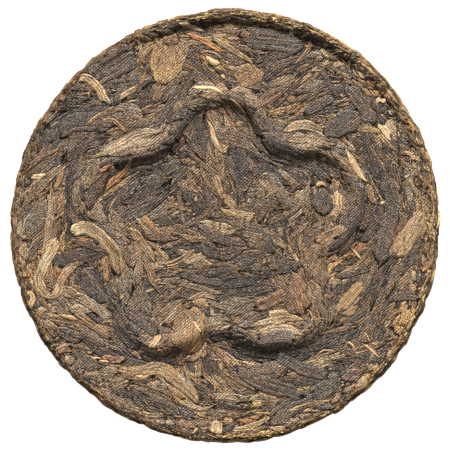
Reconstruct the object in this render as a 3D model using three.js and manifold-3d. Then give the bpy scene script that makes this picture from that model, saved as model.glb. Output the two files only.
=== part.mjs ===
// A round cake of pressed tea leaves, in millimetres, +Z up.
// The cake lies flat with its stamped face up: a low raised rim runs round the face, and a raised
// five-petalled blossom outline stands in the middle of it. The mass is one solid, and the leaves,
// buds and stalks that show on its face, side and underside are fused on as flattened strips.
// The origin is the middle of the underside, on the plane that the cake rests on.
import * as THREE from "three";
import { mergeVertices } from "three/addons/utils/BufferGeometryUtils.js";
import Module from "manifold-3d";

// Driving dimensions.
const cakeRadius = 99.3; // side wall of the mass, without its loose flakes
const faceHeight = 19.2; // the stamped face, where it meets the rim
const faceCrown = 1.0; // how much higher the middle of the face is
const rimWidth = 5.6;
const rimRise = 1.5; // rim above the face
const rimExtraRise = 0.9; // the rim stands higher still on its +Y side
const rimExtraAt = 75; // degrees
const rimExtraSpread = 42; // degrees
const ridgeRise = 2.6; // blossom outline above the face
const ridgeHalfWidth = 6.0;
const baseLift = 0.5; // the mass above the resting plane, which only some leaves reach
const leafDepth = 1.6; // how far a strip reaches into the mass
const leafTaper = 0.6; // share of its width that a strip loses at its ends
const broadLeaf = 6; // a wider leaf than this is crowned across
const segments = 64; // round the mass

// The wall, from the edge of the underside up to the rim, as how far it lies in from the side.
const wall = [
  { inset: 8, height: baseLift },
  { inset: 3.4, height: 1.4 },
  { inset: 0.9, height: 4.2 },
  { inset: 0, height: 9.5 },
  { inset: 0.3, height: 15 },
];
// The rim's outer shoulder and crest, by how far they lie below the rim's top.
const rimShoulder = [
  { inset: 1.2, drop: 1.1 },
  { inset: 2.8, drop: 0 },
];
// The ridge's rings on the face, in half widths out from its crest.
const ridgeRings = [1, 0.45, 0, -0.45, -1];

// The blossom outline, as [degrees, radius] of each petal's tip and of the notch after it.
const petals = [
  { tip: [16, 62.7], notch: [60, 45.3] },
  { tip: [95, 60.6], notch: [125, 47] },
  { tip: [167, 64], notch: [196, 46.4] },
  { tip: [233, 65.5], notch: [266, 46] },
  { tip: [305, 62], notch: [338, 45.3] },
];
const petalRoundness = 0.8; // under 1 makes the petals full and the notches sharp

// Out-of-round of the pressed cake: [lobes, millimetres, degrees of the first high point].
const wobble = [
  [2, 0.7, 70],
  [3, 0.5, 60],
  [11, 0.16, 20],
  [17, 0.14, 5],
];

const radians = THREE.MathUtils.degToRad;
const degrees = THREE.MathUtils.radToDeg;

// One seeded draw after another, from 0 to 1.
function seededDraw(seed) {
  let state = seed >>> 0;
  return () => {
    state = (state + 0x6d2b79f5) >>> 0;
    let mixed = Math.imul(state ^ (state >>> 15), 1 | state);
    mixed = (mixed + Math.imul(mixed ^ (mixed >>> 7), 61 | mixed)) ^ mixed;
    return ((mixed ^ (mixed >>> 14)) >>> 0) / 4294967296;
  };
}

// Outer radius of the mass at an angle.
function sideRadius(angle) {
  return wobble.reduce(
    (radius, [lobes, height, peak]) =>
      radius + height * Math.cos(lobes * (angle - radians(peak))),
    cakeRadius,
  );
}

// Radius of the blossom outline's crest at an angle: it swings from notch to tip and back.
function blossomRadius(angle) {
  const at = THREE.MathUtils.euclideanModulo(degrees(angle), 360);
  const turns = petals.flatMap(({ tip, notch }) => [tip, notch]);
  const next = turns.findIndex(([degree]) => degree > at);
  const after = next < 0 ? turns.length : next;
  const [fromDegree, fromRadius] = turns.at(after - 1);
  const [toDegree, toRadius] = turns[after % turns.length];
  const span = THREE.MathUtils.euclideanModulo(toDegree - fromDegree, 360);
  const share = THREE.MathUtils.euclideanModulo(at - fromDegree, 360) / span;
  const rising = toRadius > fromRadius;
  const swing = (1 - Math.cos(Math.PI * (rising ? share : 1 - share))) / 2;
  const low = Math.min(fromRadius, toRadius);
  return low + Math.abs(toRadius - fromRadius) * swing ** petalRoundness;
}

// How much longer the ridge's width is when measured along a radius instead of across the ridge.
function blossomSlant(angle) {
  const step = 0.01;
  const slope = (blossomRadius(angle + step) - blossomRadius(angle - step)) / (2 * step);
  return Math.hypot(1, slope / blossomRadius(angle));
}

function rimHeight(angle) {
  const away = THREE.MathUtils.euclideanModulo(degrees(angle) - rimExtraAt + 180, 360) - 180;
  return faceHeight + rimRise + rimExtraRise * Math.exp(-((away / rimExtraSpread) ** 2));
}

// Height of the bare face, with its blossom ridge and the inner slope of its rim.
function faceAt(x, y) {
  const radius = Math.hypot(x, y);
  const angle = Math.atan2(y, x);
  const crown = faceCrown * (1 - (radius / cakeRadius) ** 2);
  const across = Math.abs(radius - blossomRadius(angle)) / (ridgeHalfWidth * blossomSlant(angle));
  const ridge = across < 1 ? (ridgeRise * (1 + Math.cos(Math.PI * across))) / 2 : 0;
  const rimShare = THREE.MathUtils.clamp((radius - sideRadius(angle) + rimWidth) / (rimWidth / 2), 0, 1);
  const rim = (rimHeight(angle) - faceHeight) * rimShare;
  return faceHeight + crown + ridge + rim;
}

// From the middle of the underside round to the middle of the face: [radius, height] of each ring
// of the mass at an angle. The face's rings follow the blossom outline.
function massRings(angle) {
  const side = sideRadius(angle);
  const foot = ridgeHalfWidth * blossomSlant(angle);
  const faceRing = (radius) => [
    radius,
    faceAt(radius * Math.cos(angle), radius * Math.sin(angle)),
  ];
  return [
    [0, baseLift],
    ...wall.map(({ inset, height }) => [side - inset, height]),
    ...rimShoulder.map(({ inset, drop }) => [side - inset, rimHeight(angle) - drop]),
    faceRing(side - rimWidth),
    ...ridgeRings.map((share) => faceRing(blossomRadius(angle) + share * foot)),
    [0, faceHeight + faceCrown],
  ];
}

// The mass is a lathed solid whose rings are then drawn out of round.
function massGeometry() {
  const profile = massRings(0).map(([radius, height]) => new THREE.Vector2(radius, height));
  const geometry = new THREE.LatheGeometry(profile, segments);
  const position = geometry.getAttribute("position");
  for (let segment = 0; segment <= segments; segment++) {
    const angle = (2 * Math.PI * (segment % segments)) / segments;
    massRings(angle).forEach(([radius, height], ring) => {
      position.setXYZ(
        segment * profile.length + ring,
        radius * Math.cos(angle),
        radius * Math.sin(angle),
        height,
      );
    });
  }
  return geometry;
}

// Reverses each face of a strip whose outer face was moved below its inner one.
function turnedOut(geometry) {
  const index = geometry.getIndex();
  for (let corner = 0; corner < index.count; corner += 3) {
    const second = index.getX(corner + 1);
    index.setX(corner + 1, index.getX(corner + 2));
    index.setX(corner + 2, second);
  }
  return geometry;
}

// Moves each vertex of a flat strip: place(along, across, outer) gets along from -0.5 to 0.5,
// across from -1 to 1, and whether the vertex is on the strip's outer face.
function shapedStrip(length, width, steps, place) {
  const lanes = width > broadLeaf ? 2 : 1;
  const geometry = new THREE.BoxGeometry(length, width, 1, steps, lanes, 1);
  const position = geometry.getAttribute("position");
  for (let i = 0; i < position.count; i++) {
    const along = position.getX(i) / length;
    const across = (2 * position.getY(i)) / width;
    position.setXYZ(i, ...place(along, across, position.getZ(i) > 0));
  }
  return geometry;
}

// Where a strip that lies flat and bends by an arc has the point along, across.
function arcPoint({ x, y, heading, length, width, bend = 0, taper = leafTaper }, along, across) {
  const turn = radians(bend);
  const halfWidth = (width / 2) * (1 - taper * Math.abs(2 * along) ** 3);
  const straight = Math.abs(turn) < 0.01;
  const forward = straight ? length * along : (length / turn) * Math.sin(turn * along);
  const sideways = straight ? 0 : (length / turn) * (1 - Math.cos(turn * along));
  const left = across * halfWidth;
  const localX = forward - left * Math.sin(turn * along);
  const localY = sideways + left * Math.cos(turn * along);
  const [c, s] = [Math.cos(radians(heading)), Math.sin(radians(heading))];
  return [x + c * localX - s * localY, y + s * localX + c * localY];
}

// A leaf needs more steps where it is draped over the blossom ridge.
function stepsOn({ x, y, length }) {
  const fromRidge = Math.abs(Math.hypot(x, y) - blossomRadius(Math.atan2(y, x)));
  const stepLength = fromRidge < ridgeHalfWidth + length / 3 ? 5 : 9;
  return Math.max(2, Math.round(length / stepLength));
}

// A leaf on the stamped face: it follows the face and stands proud of it, less so at its ends.
function faceLeaf(leaf) {
  return shapedStrip(leaf.length, leaf.width, stepsOn(leaf), (along, across, outer) => {
    const [x, y] = arcPoint(leaf, along, across);
    const crowned = (1 - 0.3 * across ** 2) * (1 - 0.5 * (2 * along) ** 4);
    return [x, y, faceAt(x, y) + (outer ? leaf.rise * crowned : -leafDepth)];
  });
}

// A leaf on the underside: pressed flat, at its own small height over the resting plane. One that
// doesn't taper needs no step between its ends.
function baseLeaf(leaf) {
  const steps = leaf.taper === 0 ? 1 : 2;
  const geometry = shapedStrip(leaf.length, leaf.width, steps, (along, across, outer) => [
    ...arcPoint(leaf, along, across),
    outer ? leaf.height : baseLift + leafDepth,
  ]);
  return turnedOut(geometry);
}

// A flake on the side: it wraps the wall at a height, leans a little and stands proud of it.
function sideFlake({ at, height, length, width, lean, rise }) {
  return shapedStrip(length, width, 2, (along, across, outer) => {
    const angle = radians(at) + (along * length) / cakeRadius;
    const halfWidth = (width / 2) * (1 - leafTaper * Math.abs(2 * along) ** 3);
    const z = height + across * halfWidth + lean * along * length;
    const proud = rise * (1 - 0.85 * (2 * along) ** 2);
    const radius = sideRadius(angle) + (outer ? proud : -leafDepth);
    return [radius * Math.cos(angle), radius * Math.sin(angle), z];
  });
}

// The leaves that stand out on the face: [x, y, heading, length, width, bend], in millimetres and
// degrees. Each is an arc through its own middle at x, y.
const namedLeaves = {
  paleChips: [
    [-16, 91, -17, 16, 2.8, 0],
    [-6.5, 76.5, -33, 12, 2.8, 12],
    [-8.5, 63, -5, 18, 2.6, -25],
    [-5.5, 42, -62, 20, 2.2, 10],
    [74, 44, -60, 12, 3.6, 0],
    [71.5, 58, 100, 6, 3.4, 0],
    [41, 18.5, 20, 10, 2.6, -70],
    [-86, 22, 3, 10, 2.8, 0],
    [-72.5, -42.3, -14, 12, 2.2, 0],
    [-33, -55, 50, 6, 2.6, 0],
    [-10, -31.5, 5, 20, 2.8, -50],
  ],
  goldenLeaves: [
    [-28, 77, 20, 20, 13, 0],
    [10, 70, 25, 15, 8, 0],
    [-66, -3, 8, 15, 5.2, -35],
    [-83.5, -17, -115, 26, 4.6, 35],
    [-81, -31, 0, 12, 3.2, 75],
    [-70.5, -20, 48, 21, 3.6, -40],
    [-40, -66.5, -2, 34, 4.8, -8],
    [-16, -73.5, -48, 22, 5.6, -35],
    [83.5, -3.5, 58, 27, 7, 0],
    [57.5, -34.5, 48, 19, 5.6, 0],
    [-17.5, -52, 22, 17, 9, 0],
    [-15, -59, 50, 12, 4.6, 0],
    [82, -45, 60, 17, 6, 0],
    [-5, 21, -62, 13, 4, 0],
    [50.5, 9, 82, 13, 3, 0],
    [-4, -93, 80, 8, 4.6, 0],
    [16, -91, 35, 12, 3, 0],
  ],
  russetLeaves: [
    [-50, 22, 50, 20, 3.8, 25],
    [-40, 66.5, 60, 12, 3, 20],
    [-86.5, 30.5, 38, 20, 3.2, -12],
    [-76.5, 23, 72, 16, 2.6, 0],
    [22, 60, 28, 25, 5.5, 0],
    [32, -30, -68, 20, 8, 0],
    [-53, -61, -3, 16, 3.8, 0],
    [-30, -8, -8, 17, 5, 0],
    [38, -59, 35, 10, 4, 0],
    [95, -17, 60, 8, 3.2, 0],
  ],
  tanLeaves: [
    [1, 83, -40, 24, 3.5, -12],
    [-62, 65.5, -28, 13, 3.4, -35],
    [-54, 51, 20, 23, 2.2, -15],
    [-48, 38, 14, 38, 6.5, 8],
    [38, 44.5, -15, 25, 5, -25],
    [59.5, 28.5, -62, 21, 3, 0],
    [-40, -9.5, -48, 22, 4, 0],
    [-60.5, -46.5, -38, 26, 3.8, -8],
    [-13, -84.5, -2, 20, 2, 60],
    [18, -44, 20, 21, 3.2, -40],
    [48, -3, 22, 18, 5, 0],
    [68, -66, 40, 9, 5, 0],
  ],
  darkLeaves: [
    [-51, 71, 28, 28, 9, 0],
    [18, 87, -4, 36, 8, -8],
    [53, 47.5, 20, 19, 10.5, 0],
    [44.5, 11, -65, 13, 6.5, 0],
    [-56, -10, -42, 16, 6, -40],
    [-8, -24, -8, 32, 4.2, -10],
    [38, -81, 42, 42, 7.5, 0],
    [47, -57, 80, 15, 7, 0],
    [6, -68, -38, 26, 3, 0],
    [79, -32, 2, 17, 3.4, 0],
    [-45, -76, -12, 32, 4, -10],
    [60, -74, 45, 20, 6, 0],
  ],
};
// How far each kind stands proud of the face.
const leafRises = {
  paleChips: 1.2,
  goldenLeaves: 1.1,
  russetLeaves: 1,
  tanLeaves: 0.9,
  darkLeaves: 0.75,
};

function namedFaceLeaves() {
  return Object.entries(namedLeaves).flatMap(([kind, rows]) =>
    rows.map(([x, y, heading, length, width, bend]) => ({
      ...{ x, y, heading, length, width, bend },
      rise: leafRises[kind],
    })),
  );
}

// The unnamed leaves between them, on rings round the middle, each turned at random.
function scatteredFaceLeaves() {
  const draw = seededDraw(7);
  const rings = [
    { radius: 15, count: 4 },
    { radius: 33, count: 8 },
    { radius: 75, count: 13 },
    { radius: 86, count: 15 },
  ];
  return rings.flatMap(({ radius, count }) =>
    Array.from({ length: count }, (_, i) => {
      const angle = (2 * Math.PI * (i + 0.7 * draw())) / count;
      const outwards = radius > 80;
      return {
        x: radius * Math.cos(angle),
        y: radius * Math.sin(angle),
        heading: outwards ? degrees(angle) + 90 + 40 * (draw() - 0.5) : 360 * draw(),
        length: 15 + 11 * draw(),
        width: 3.4 + 2.6 * draw(),
        bend: 60 * (draw() - 0.5),
        rise: 0.5 + 0.35 * draw(),
      };
    }),
  );
}

// Leaves that lie along the rim's crest.
function rimLeaves() {
  const draw = seededDraw(21);
  const count = 18;
  return Array.from({ length: count }, (_, i) => {
    const at = (360 * (i + 0.6 * draw())) / count;
    const length = 9 + 9 * draw();
    const radius = sideRadius(radians(at)) - 3.6 + 0.5 * draw();
    return {
      x: radius * Math.cos(radians(at)),
      y: radius * Math.sin(radians(at)),
      heading: at + 90 + 12 * (draw() - 0.5),
      length,
      width: 1.8 + 1.1 * draw(),
      bend: degrees(length / cakeRadius),
      rise: 0.4 + 0.4 * draw(),
    };
  });
}

// Three courses of flakes on the side, one over the other.
function sideFlakes() {
  const draw = seededDraw(37);
  const courses = [
    { height: 5.6, count: 16 },
    { height: 10.6, count: 17 },
    { height: 15.6, count: 16 },
  ];
  return courses.flatMap(({ height, count }) =>
    Array.from({ length: count }, (_, i) => ({
      at: (360 * (i + 0.6 * draw())) / count,
      height: height + 1.6 * (draw() - 0.5),
      length: 14 + 14 * draw(),
      width: 2.8 + 2.4 * draw(),
      lean: 0.2 * (draw() - 0.5),
      rise: 0.6 + 0.7 * draw(),
    })),
  );
}

// Underside: four square-ended leaves near the edge and one in the middle lie on the resting
// plane, and the rest, between them, stay just clear of it.
function underLeaves() {
  const draw = seededDraw(52);
  const outAt = (at, radius) => ({
    x: radius * Math.cos(radians(at)),
    y: radius * Math.sin(radians(at)),
  });
  const lying = { length: 36, width: 5.8, taper: 0, height: 0 };
  const middle = { ...lying, x: 0, y: 0, heading: 25 };
  const edge = [12, 101, 195, 284].map((at) => ({ ...lying, ...outAt(at, 76), heading: at + 90 }));
  const rings = [
    { radius: 26, count: 5 },
    { radius: 50, count: 9 },
    { radius: 84, count: 9 },
  ];
  const clear = rings.flatMap(({ radius, count }) =>
    Array.from({ length: count }, (_, i) => {
      const at = (360 * (i + 0.5 * draw())) / count;
      return {
        ...outAt(at, radius),
        heading: radius > 80 ? at + 90 : 360 * draw(),
        length: 16 + 12 * draw(),
        width: 4 + 3 * draw(),
        bend: 40 * (draw() - 0.5),
        height: 0.12 + 0.24 * draw(),
      };
    }),
  );
  return [middle, ...edge, ...clear];
}

const wasm = await Module();
wasm.setup();

function solidOf(geometry) {
  const bare = geometry.clone();
  bare.deleteAttribute("normal");
  bare.deleteAttribute("uv");
  const merged = mergeVertices(bare, 1e-4);
  return new wasm.Manifold(
    new wasm.Mesh({
      numProp: 3,
      vertProperties: merged.getAttribute("position").array,
      triVerts: new Uint32Array(merged.getIndex().array),
    }),
  );
}

function geometryOf(solid) {
  const mesh = solid.getMesh();
  return new THREE.BufferGeometry()
    .setAttribute("position", new THREE.BufferAttribute(mesh.vertProperties, 3))
    .setIndex(new THREE.BufferAttribute(mesh.triVerts, 1));
}

// The whole cake: the mass with every strip fused on.
function cakeGeometry() {
  const strips = [
    ...namedFaceLeaves().map(faceLeaf),
    ...scatteredFaceLeaves().map(faceLeaf),
    ...rimLeaves().map(faceLeaf),
    ...sideFlakes().map(sideFlake),
    ...underLeaves().map(baseLeaf),
  ];
  const whole = strips.reduce((solid, strip) => solid.add(solidOf(strip)), solidOf(massGeometry()));
  return geometryOf(whole);
}

const pressedTea = new THREE.MeshStandardMaterial({
  color: 0x7b6856,
  roughness: 0.8,
  metalness: 0,
  flatShading: true,
});
const cake = new THREE.Mesh(cakeGeometry(), pressedTea);
cake.name = "tea_cake";

const teaCake = new THREE.Group();
teaCake.add(cake);

export default teaCake;
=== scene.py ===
"""A round cake of pressed tea leaves, dressed over its CAD solid.

Lengths are in millimetres until a mesh is made, which is in metres."""

import bpy
import math
import numpy as np
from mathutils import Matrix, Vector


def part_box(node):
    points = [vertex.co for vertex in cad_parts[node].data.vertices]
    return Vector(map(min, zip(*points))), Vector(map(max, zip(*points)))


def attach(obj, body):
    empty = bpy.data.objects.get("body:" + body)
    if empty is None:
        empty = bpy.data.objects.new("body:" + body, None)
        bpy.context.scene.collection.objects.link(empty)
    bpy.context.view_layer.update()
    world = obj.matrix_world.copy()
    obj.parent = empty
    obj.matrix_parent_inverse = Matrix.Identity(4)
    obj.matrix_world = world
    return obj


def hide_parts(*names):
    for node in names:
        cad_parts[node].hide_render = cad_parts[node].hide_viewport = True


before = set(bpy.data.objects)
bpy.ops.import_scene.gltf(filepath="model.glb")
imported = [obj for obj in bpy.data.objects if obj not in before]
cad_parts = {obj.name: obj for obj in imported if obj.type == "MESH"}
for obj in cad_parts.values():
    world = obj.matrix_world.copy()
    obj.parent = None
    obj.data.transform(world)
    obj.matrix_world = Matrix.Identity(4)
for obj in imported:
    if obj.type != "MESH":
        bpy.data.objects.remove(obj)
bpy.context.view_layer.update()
bpy.ops.object.select_all(action="DESELECT")


# ---- The pressed mass ----
# Broken leaf and dust, steamed soft and pressed in a round mould until it holds together.
# It shows only in the gaps between the leaves. Its face carries the stamped blossom outline
# and ends in a raised rim.

MM = 0.001
low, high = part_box("tea_cake")
FLAKE_REACH = 1.2
CAKE_RADIUS = (high.x - low.x + high.y - low.y) / 4 / MM - FLAKE_REACH
CAKE_HEIGHT = high.z / MM

FACE_DROP = 5.1
FACE_HEIGHT = CAKE_HEIGHT - FACE_DROP
FACE_CROWN = 1.0
CORE_DEPTH = 0.4

# The rim stands higher still about RIM_EXTRA_AT, in degrees. It starts to climb RIM_FOOT in from
# the side, is highest at RIM_CREST, and falls from there to the side.
RIM_RISE = 0.8
RIM_EXTRA_RISE = 2.3
RIM_EXTRA_AT = 77
RIM_EXTRA_SPREAD = 39
RIM_FOOT = 7.0
RIM_CREST = 3.7
RIM_FALL = 0.7

# The blossom outline: a ridge with one steep and one gentle side, and a shallow dip along its foot.
RIDGE_RISE = 3.4
RIDGE_STEEP_SIDE = 6.8
RIDGE_GENTLE_SIDE = 8.0
RIDGE_DIP = 0.5

# Degrees and radius of each petal's tip, and of the notch after it.
PETAL_TURNS = [
    (16, 62.7), (60, 45.3), (95, 60.6), (125, 47), (167, 64),
    (196, 46.4), (233, 64.3), (266, 45.4), (305, 61), (338, 45.3),
]
PETAL_ROUNDNESS = 0.8
# Its unevenness: waves all round, millimetres, phase.
PETAL_WOBBLE = [(9, 0.7, 2), (16, 0.5, 4), (29, 0.3, 0)]
# It is worked out at this many places round the cake.
STEPS_PER_DEGREE = 10
CREST_STEPS = 360 * STEPS_PER_DEGREE
# Degrees, and how far up the outline stands there: the left side of it was hardly filled.
RIDGE_STRENGTH = [
    (0, 0.8), (16, 1.0), (40, 1.05), (60, 0.95), (95, 0.95), (125, 1.05), (150, 1.05), (167, 0.7),
    (182, 0.4), (200, 0.35), (218, 0.55), (236, 1.05), (252, 1.1), (266, 0.85), (285, 1.1), (305, 1.1),
    (320, 0.75), (338, 0.5),
]

# Out-of-round of the side: lobes, millimetres, degrees of the first high point.
SIDE_WOBBLE = [
    (2, 0.7, 70), (3, 0.5, 60), (11, 0.16, 20), (17, 0.14, 5), (29, 0.14, 3), (43, 0.14, 1), (71, 0.1, 2),
    (113, 0.06, 1), (167, 0.05, 0),
]
# The same for the height of the rim, where leaf ends stand up.
RIM_RAGGEDNESS = [(23, 0.16, 3), (37, 0.14, 7), (61, 0.16, 2), (97, 0.14, 1), (139, 0.12, 0)]


def side_radius(angle):
    radius = CAKE_RADIUS
    for lobes, height, peak in SIDE_WOBBLE:
        radius = radius + height * np.cos(lobes * (angle - math.radians(peak)))
    return radius


def petal_table():
    """All round the blossom outline: the radius of its crest, its slant and its heading."""
    degrees = np.arange(CREST_STEPS) / STEPS_PER_DEGREE
    crest = np.zeros(CREST_STEPS)
    for (start, from_radius), (end, to_radius) in zip(PETAL_TURNS, PETAL_TURNS[1:] + PETAL_TURNS[:1]):
        span = (end - start) % 360
        share = ((degrees - start) % 360) / span
        inside = share < 1
        share = share[inside] if to_radius > from_radius else 1 - share[inside]
        swing = ((1 - np.cos(math.pi * share)) / 2) ** PETAL_ROUNDNESS
        crest[inside] = min(from_radius, to_radius) + abs(to_radius - from_radius) * swing
    turn = np.radians(degrees)
    for waves, height, phase in PETAL_WOBBLE:
        crest = crest + height * np.sin(waves * turn + phase)
    closed = np.concatenate([crest[-5:], crest, crest[:5]])
    slope = np.gradient(closed, math.radians(1 / STEPS_PER_DEGREE))[5:-5]
    return crest, np.hypot(1, slope / crest), turn + np.arctan2(crest, slope)


crest_table, slant_table, crest_heading = petal_table()


def outline_index(x, y):
    return np.round(np.degrees(np.arctan2(y, x)) % 360 * STEPS_PER_DEGREE).astype(int) % CREST_STEPS


def ridge_share(x, y):
    """Distance from the blossom outline's crest in widths of that side of the ridge, and 1 where
    the side is the steep one: inside the outline in its upper half, outside it in the lower."""
    at = outline_index(x, y)
    beyond = (np.hypot(x, y) - crest_table[at]) / slant_table[at]
    turn = np.arctan2(y, x)
    upper = (1 + np.tanh(3 * np.sin(turn))) / 2
    steep = np.where(beyond < 0, upper, 1 - upper)
    steep_side = RIDGE_STEEP_SIDE * (1 + 0.2 * np.sin(7 * turn + 1))
    reach = RIDGE_GENTLE_SIDE + (steep_side - RIDGE_GENTLE_SIDE) * steep
    return np.abs(beyond) / reach, steep


def rim_top(angle):
    away = (np.degrees(angle) - RIM_EXTRA_AT + 180) % 360 - 180
    top = FACE_HEIGHT + RIM_RISE + RIM_EXTRA_RISE * np.exp(-((away / RIM_EXTRA_SPREAD) ** 2))
    for lobes, height, peak in RIM_RAGGEDNESS:
        top = top + height * np.cos(lobes * (angle - math.radians(peak)))
    return top


def unevenness(x, y):
    """Slow rise and fall of a face that was pressed by hand."""
    return (
        0.2 * np.sin(x / 13 + 1) * np.cos(y / 17)
        + 0.14 * np.sin((x + y) / 9 + 2)
        + 0.12 * np.cos((x - 1.6 * y) / 7)
    )


def face_height(x, y):
    radius = np.hypot(x, y)
    angle = np.arctan2(y, x)
    crown = FACE_CROWN * (1 - (radius / CAKE_RADIUS) ** 2)
    across, steep = ridge_share(x, y)
    places, strengths = zip(*RIDGE_STRENGTH)
    strength = np.interp(np.degrees(angle) % 360, places, strengths, period=360)
    ridge = RIDGE_RISE * (1 + np.cos(math.pi * np.minimum(across, 1))) / 2
    ridge = ridge - RIDGE_DIP * steep * np.sin(math.pi * np.clip((across - 0.8) / 1.6, 0, 1)) ** 2
    ridge = ridge * strength * (1 + 0.05 * np.sin(9 * angle + 1) + 0.05 * np.sin(17 * angle + 3))
    inset = side_radius(angle) - radius
    climb = np.clip((RIM_FOOT - inset) / (RIM_FOOT - RIM_CREST), 0, 1)
    rim = (rim_top(angle) - FACE_HEIGHT) * climb * climb * (3 - 2 * climb)
    fall = RIM_FALL * np.clip((RIM_CREST - inset) / RIM_CREST, 0, 1) ** 2
    return FACE_HEIGHT + crown + ridge + rim - fall + unevenness(x, y) * (1 - climb)


# The edge from the rim's crest down the side to the underside: how far in from the side, and
# height above the floor. Heights marked "rim" hang from the rim's top.
EDGE_PROFILE = [
    (3.4, "rim", 0.05), (2.4, "rim", 0.0), (1.5, "rim", -0.35), (0.75, "rim", -1.1), (0.3, "rim", -2.4),
    (0.1, "rim", -4.2), (0.0, "floor", 14.5), (0.0, "floor", 9.5), (0.3, "floor", 6.0), (1.2, "floor", 3.4),
    (3.0, "floor", 1.6), (6.0, "floor", 0.8), (10.0, "floor", 0.55),
]
EDGE_LENGTH = 32.0
edge_steps = np.linspace(0, 1, len(EDGE_PROFILE))


def edge_point(angle, run):
    """The edge's surface, run from 0 on the rim's crest to EDGE_LENGTH on the underside."""
    share = np.clip(run / EDGE_LENGTH, 0, 1)
    inset = np.interp(share, edge_steps, [row[0] for row in EDGE_PROFILE])
    from_floor = np.array([row[1] == "floor" for row in EDGE_PROFILE], float)
    level = np.array([row[2] for row in EDGE_PROFILE])
    hung = np.interp(share, edge_steps, level * (1 - from_floor))
    stood = np.interp(share, edge_steps, level * from_floor)
    part = np.interp(share, edge_steps, from_floor)
    radius = side_radius(angle) - inset
    z = (1 - part) * rim_top(angle) + hung + stood
    return np.stack([radius * np.cos(angle), radius * np.sin(angle), z], -1)


# From TOP_GIVE below the cake's own height, what stands up is pressed down to within TOP_ROOM.
TOP_GIVE = 0.5
TOP_ROOM = 0.47


def below_top(z):
    """Presses down what would stand above the cake's own height, the highest still highest."""
    free = CAKE_HEIGHT - TOP_GIVE
    return np.minimum(z, free) + TOP_ROOM * (1 - np.exp(-np.maximum(z - free, 0) / TOP_ROOM))


FACE_MARGIN = 1.3


def on_face(a, b, rise):
    limit = side_radius(np.arctan2(b, a)) - FACE_MARGIN
    radius = np.hypot(a, b)
    shrink = np.where(radius > limit, limit / np.maximum(radius, 1), 1)
    z = below_top(face_height(a * shrink, b * shrink) + rise)
    return np.stack([a * shrink, b * shrink, z], -1)


UNDERSIDE_HEIGHT = 0.5
UNDERSIDE_MARGIN = 6
LOWEST_LEAF = 0.02


def on_underside(a, b, rise):
    limit = side_radius(np.arctan2(-b, a)) - UNDERSIDE_MARGIN
    radius = np.hypot(a, b)
    shrink = np.where(radius > limit, limit / np.maximum(radius, 1), 1)
    z = np.maximum(UNDERSIDE_HEIGHT - rise, LOWEST_LEAF)
    return np.stack([a * shrink, -b * shrink, z], -1)


# The edge's slope is taken over this much of its run to each side.
SLOPE_REACH = 0.7
LOWEST_EDGE_LEAF = 0.05


def on_edge(a, b, rise):
    angle = -a / CAKE_RADIUS
    here = edge_point(angle, b)
    within = np.clip(b, SLOPE_REACH, EDGE_LENGTH - SLOPE_REACH)
    ahead = edge_point(angle, within + SLOPE_REACH) - edge_point(angle, within - SLOPE_REACH)
    round_way = np.stack([np.sin(angle), -np.cos(angle), np.zeros_like(angle)], -1)
    outward = np.cross(round_way, ahead)
    outward /= np.linalg.norm(outward, axis=-1, keepdims=True)
    placed = here + outward * rise[..., None]
    placed[..., 2] = below_top(np.maximum(placed[..., 2], LOWEST_EDGE_LEAF))
    return placed


# How far in from the side the mass's face and underside end; the edge lies between the two.
FACE_END = 4.2
UNDERSIDE_END = 10.5
# The stations of its profile: 54 on the face, 22 on the edge and 14 on the underside.
MASS_STATIONS = (
    [("face", share) for share in np.linspace(0.025, 1, 54)]
    + [("edge", share) for share in np.linspace(0.03, 0.97, 22)]
    + [("under", share) for share in np.linspace(1, 0.07, 14)]
)
MASS_TURNS = 360


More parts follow.
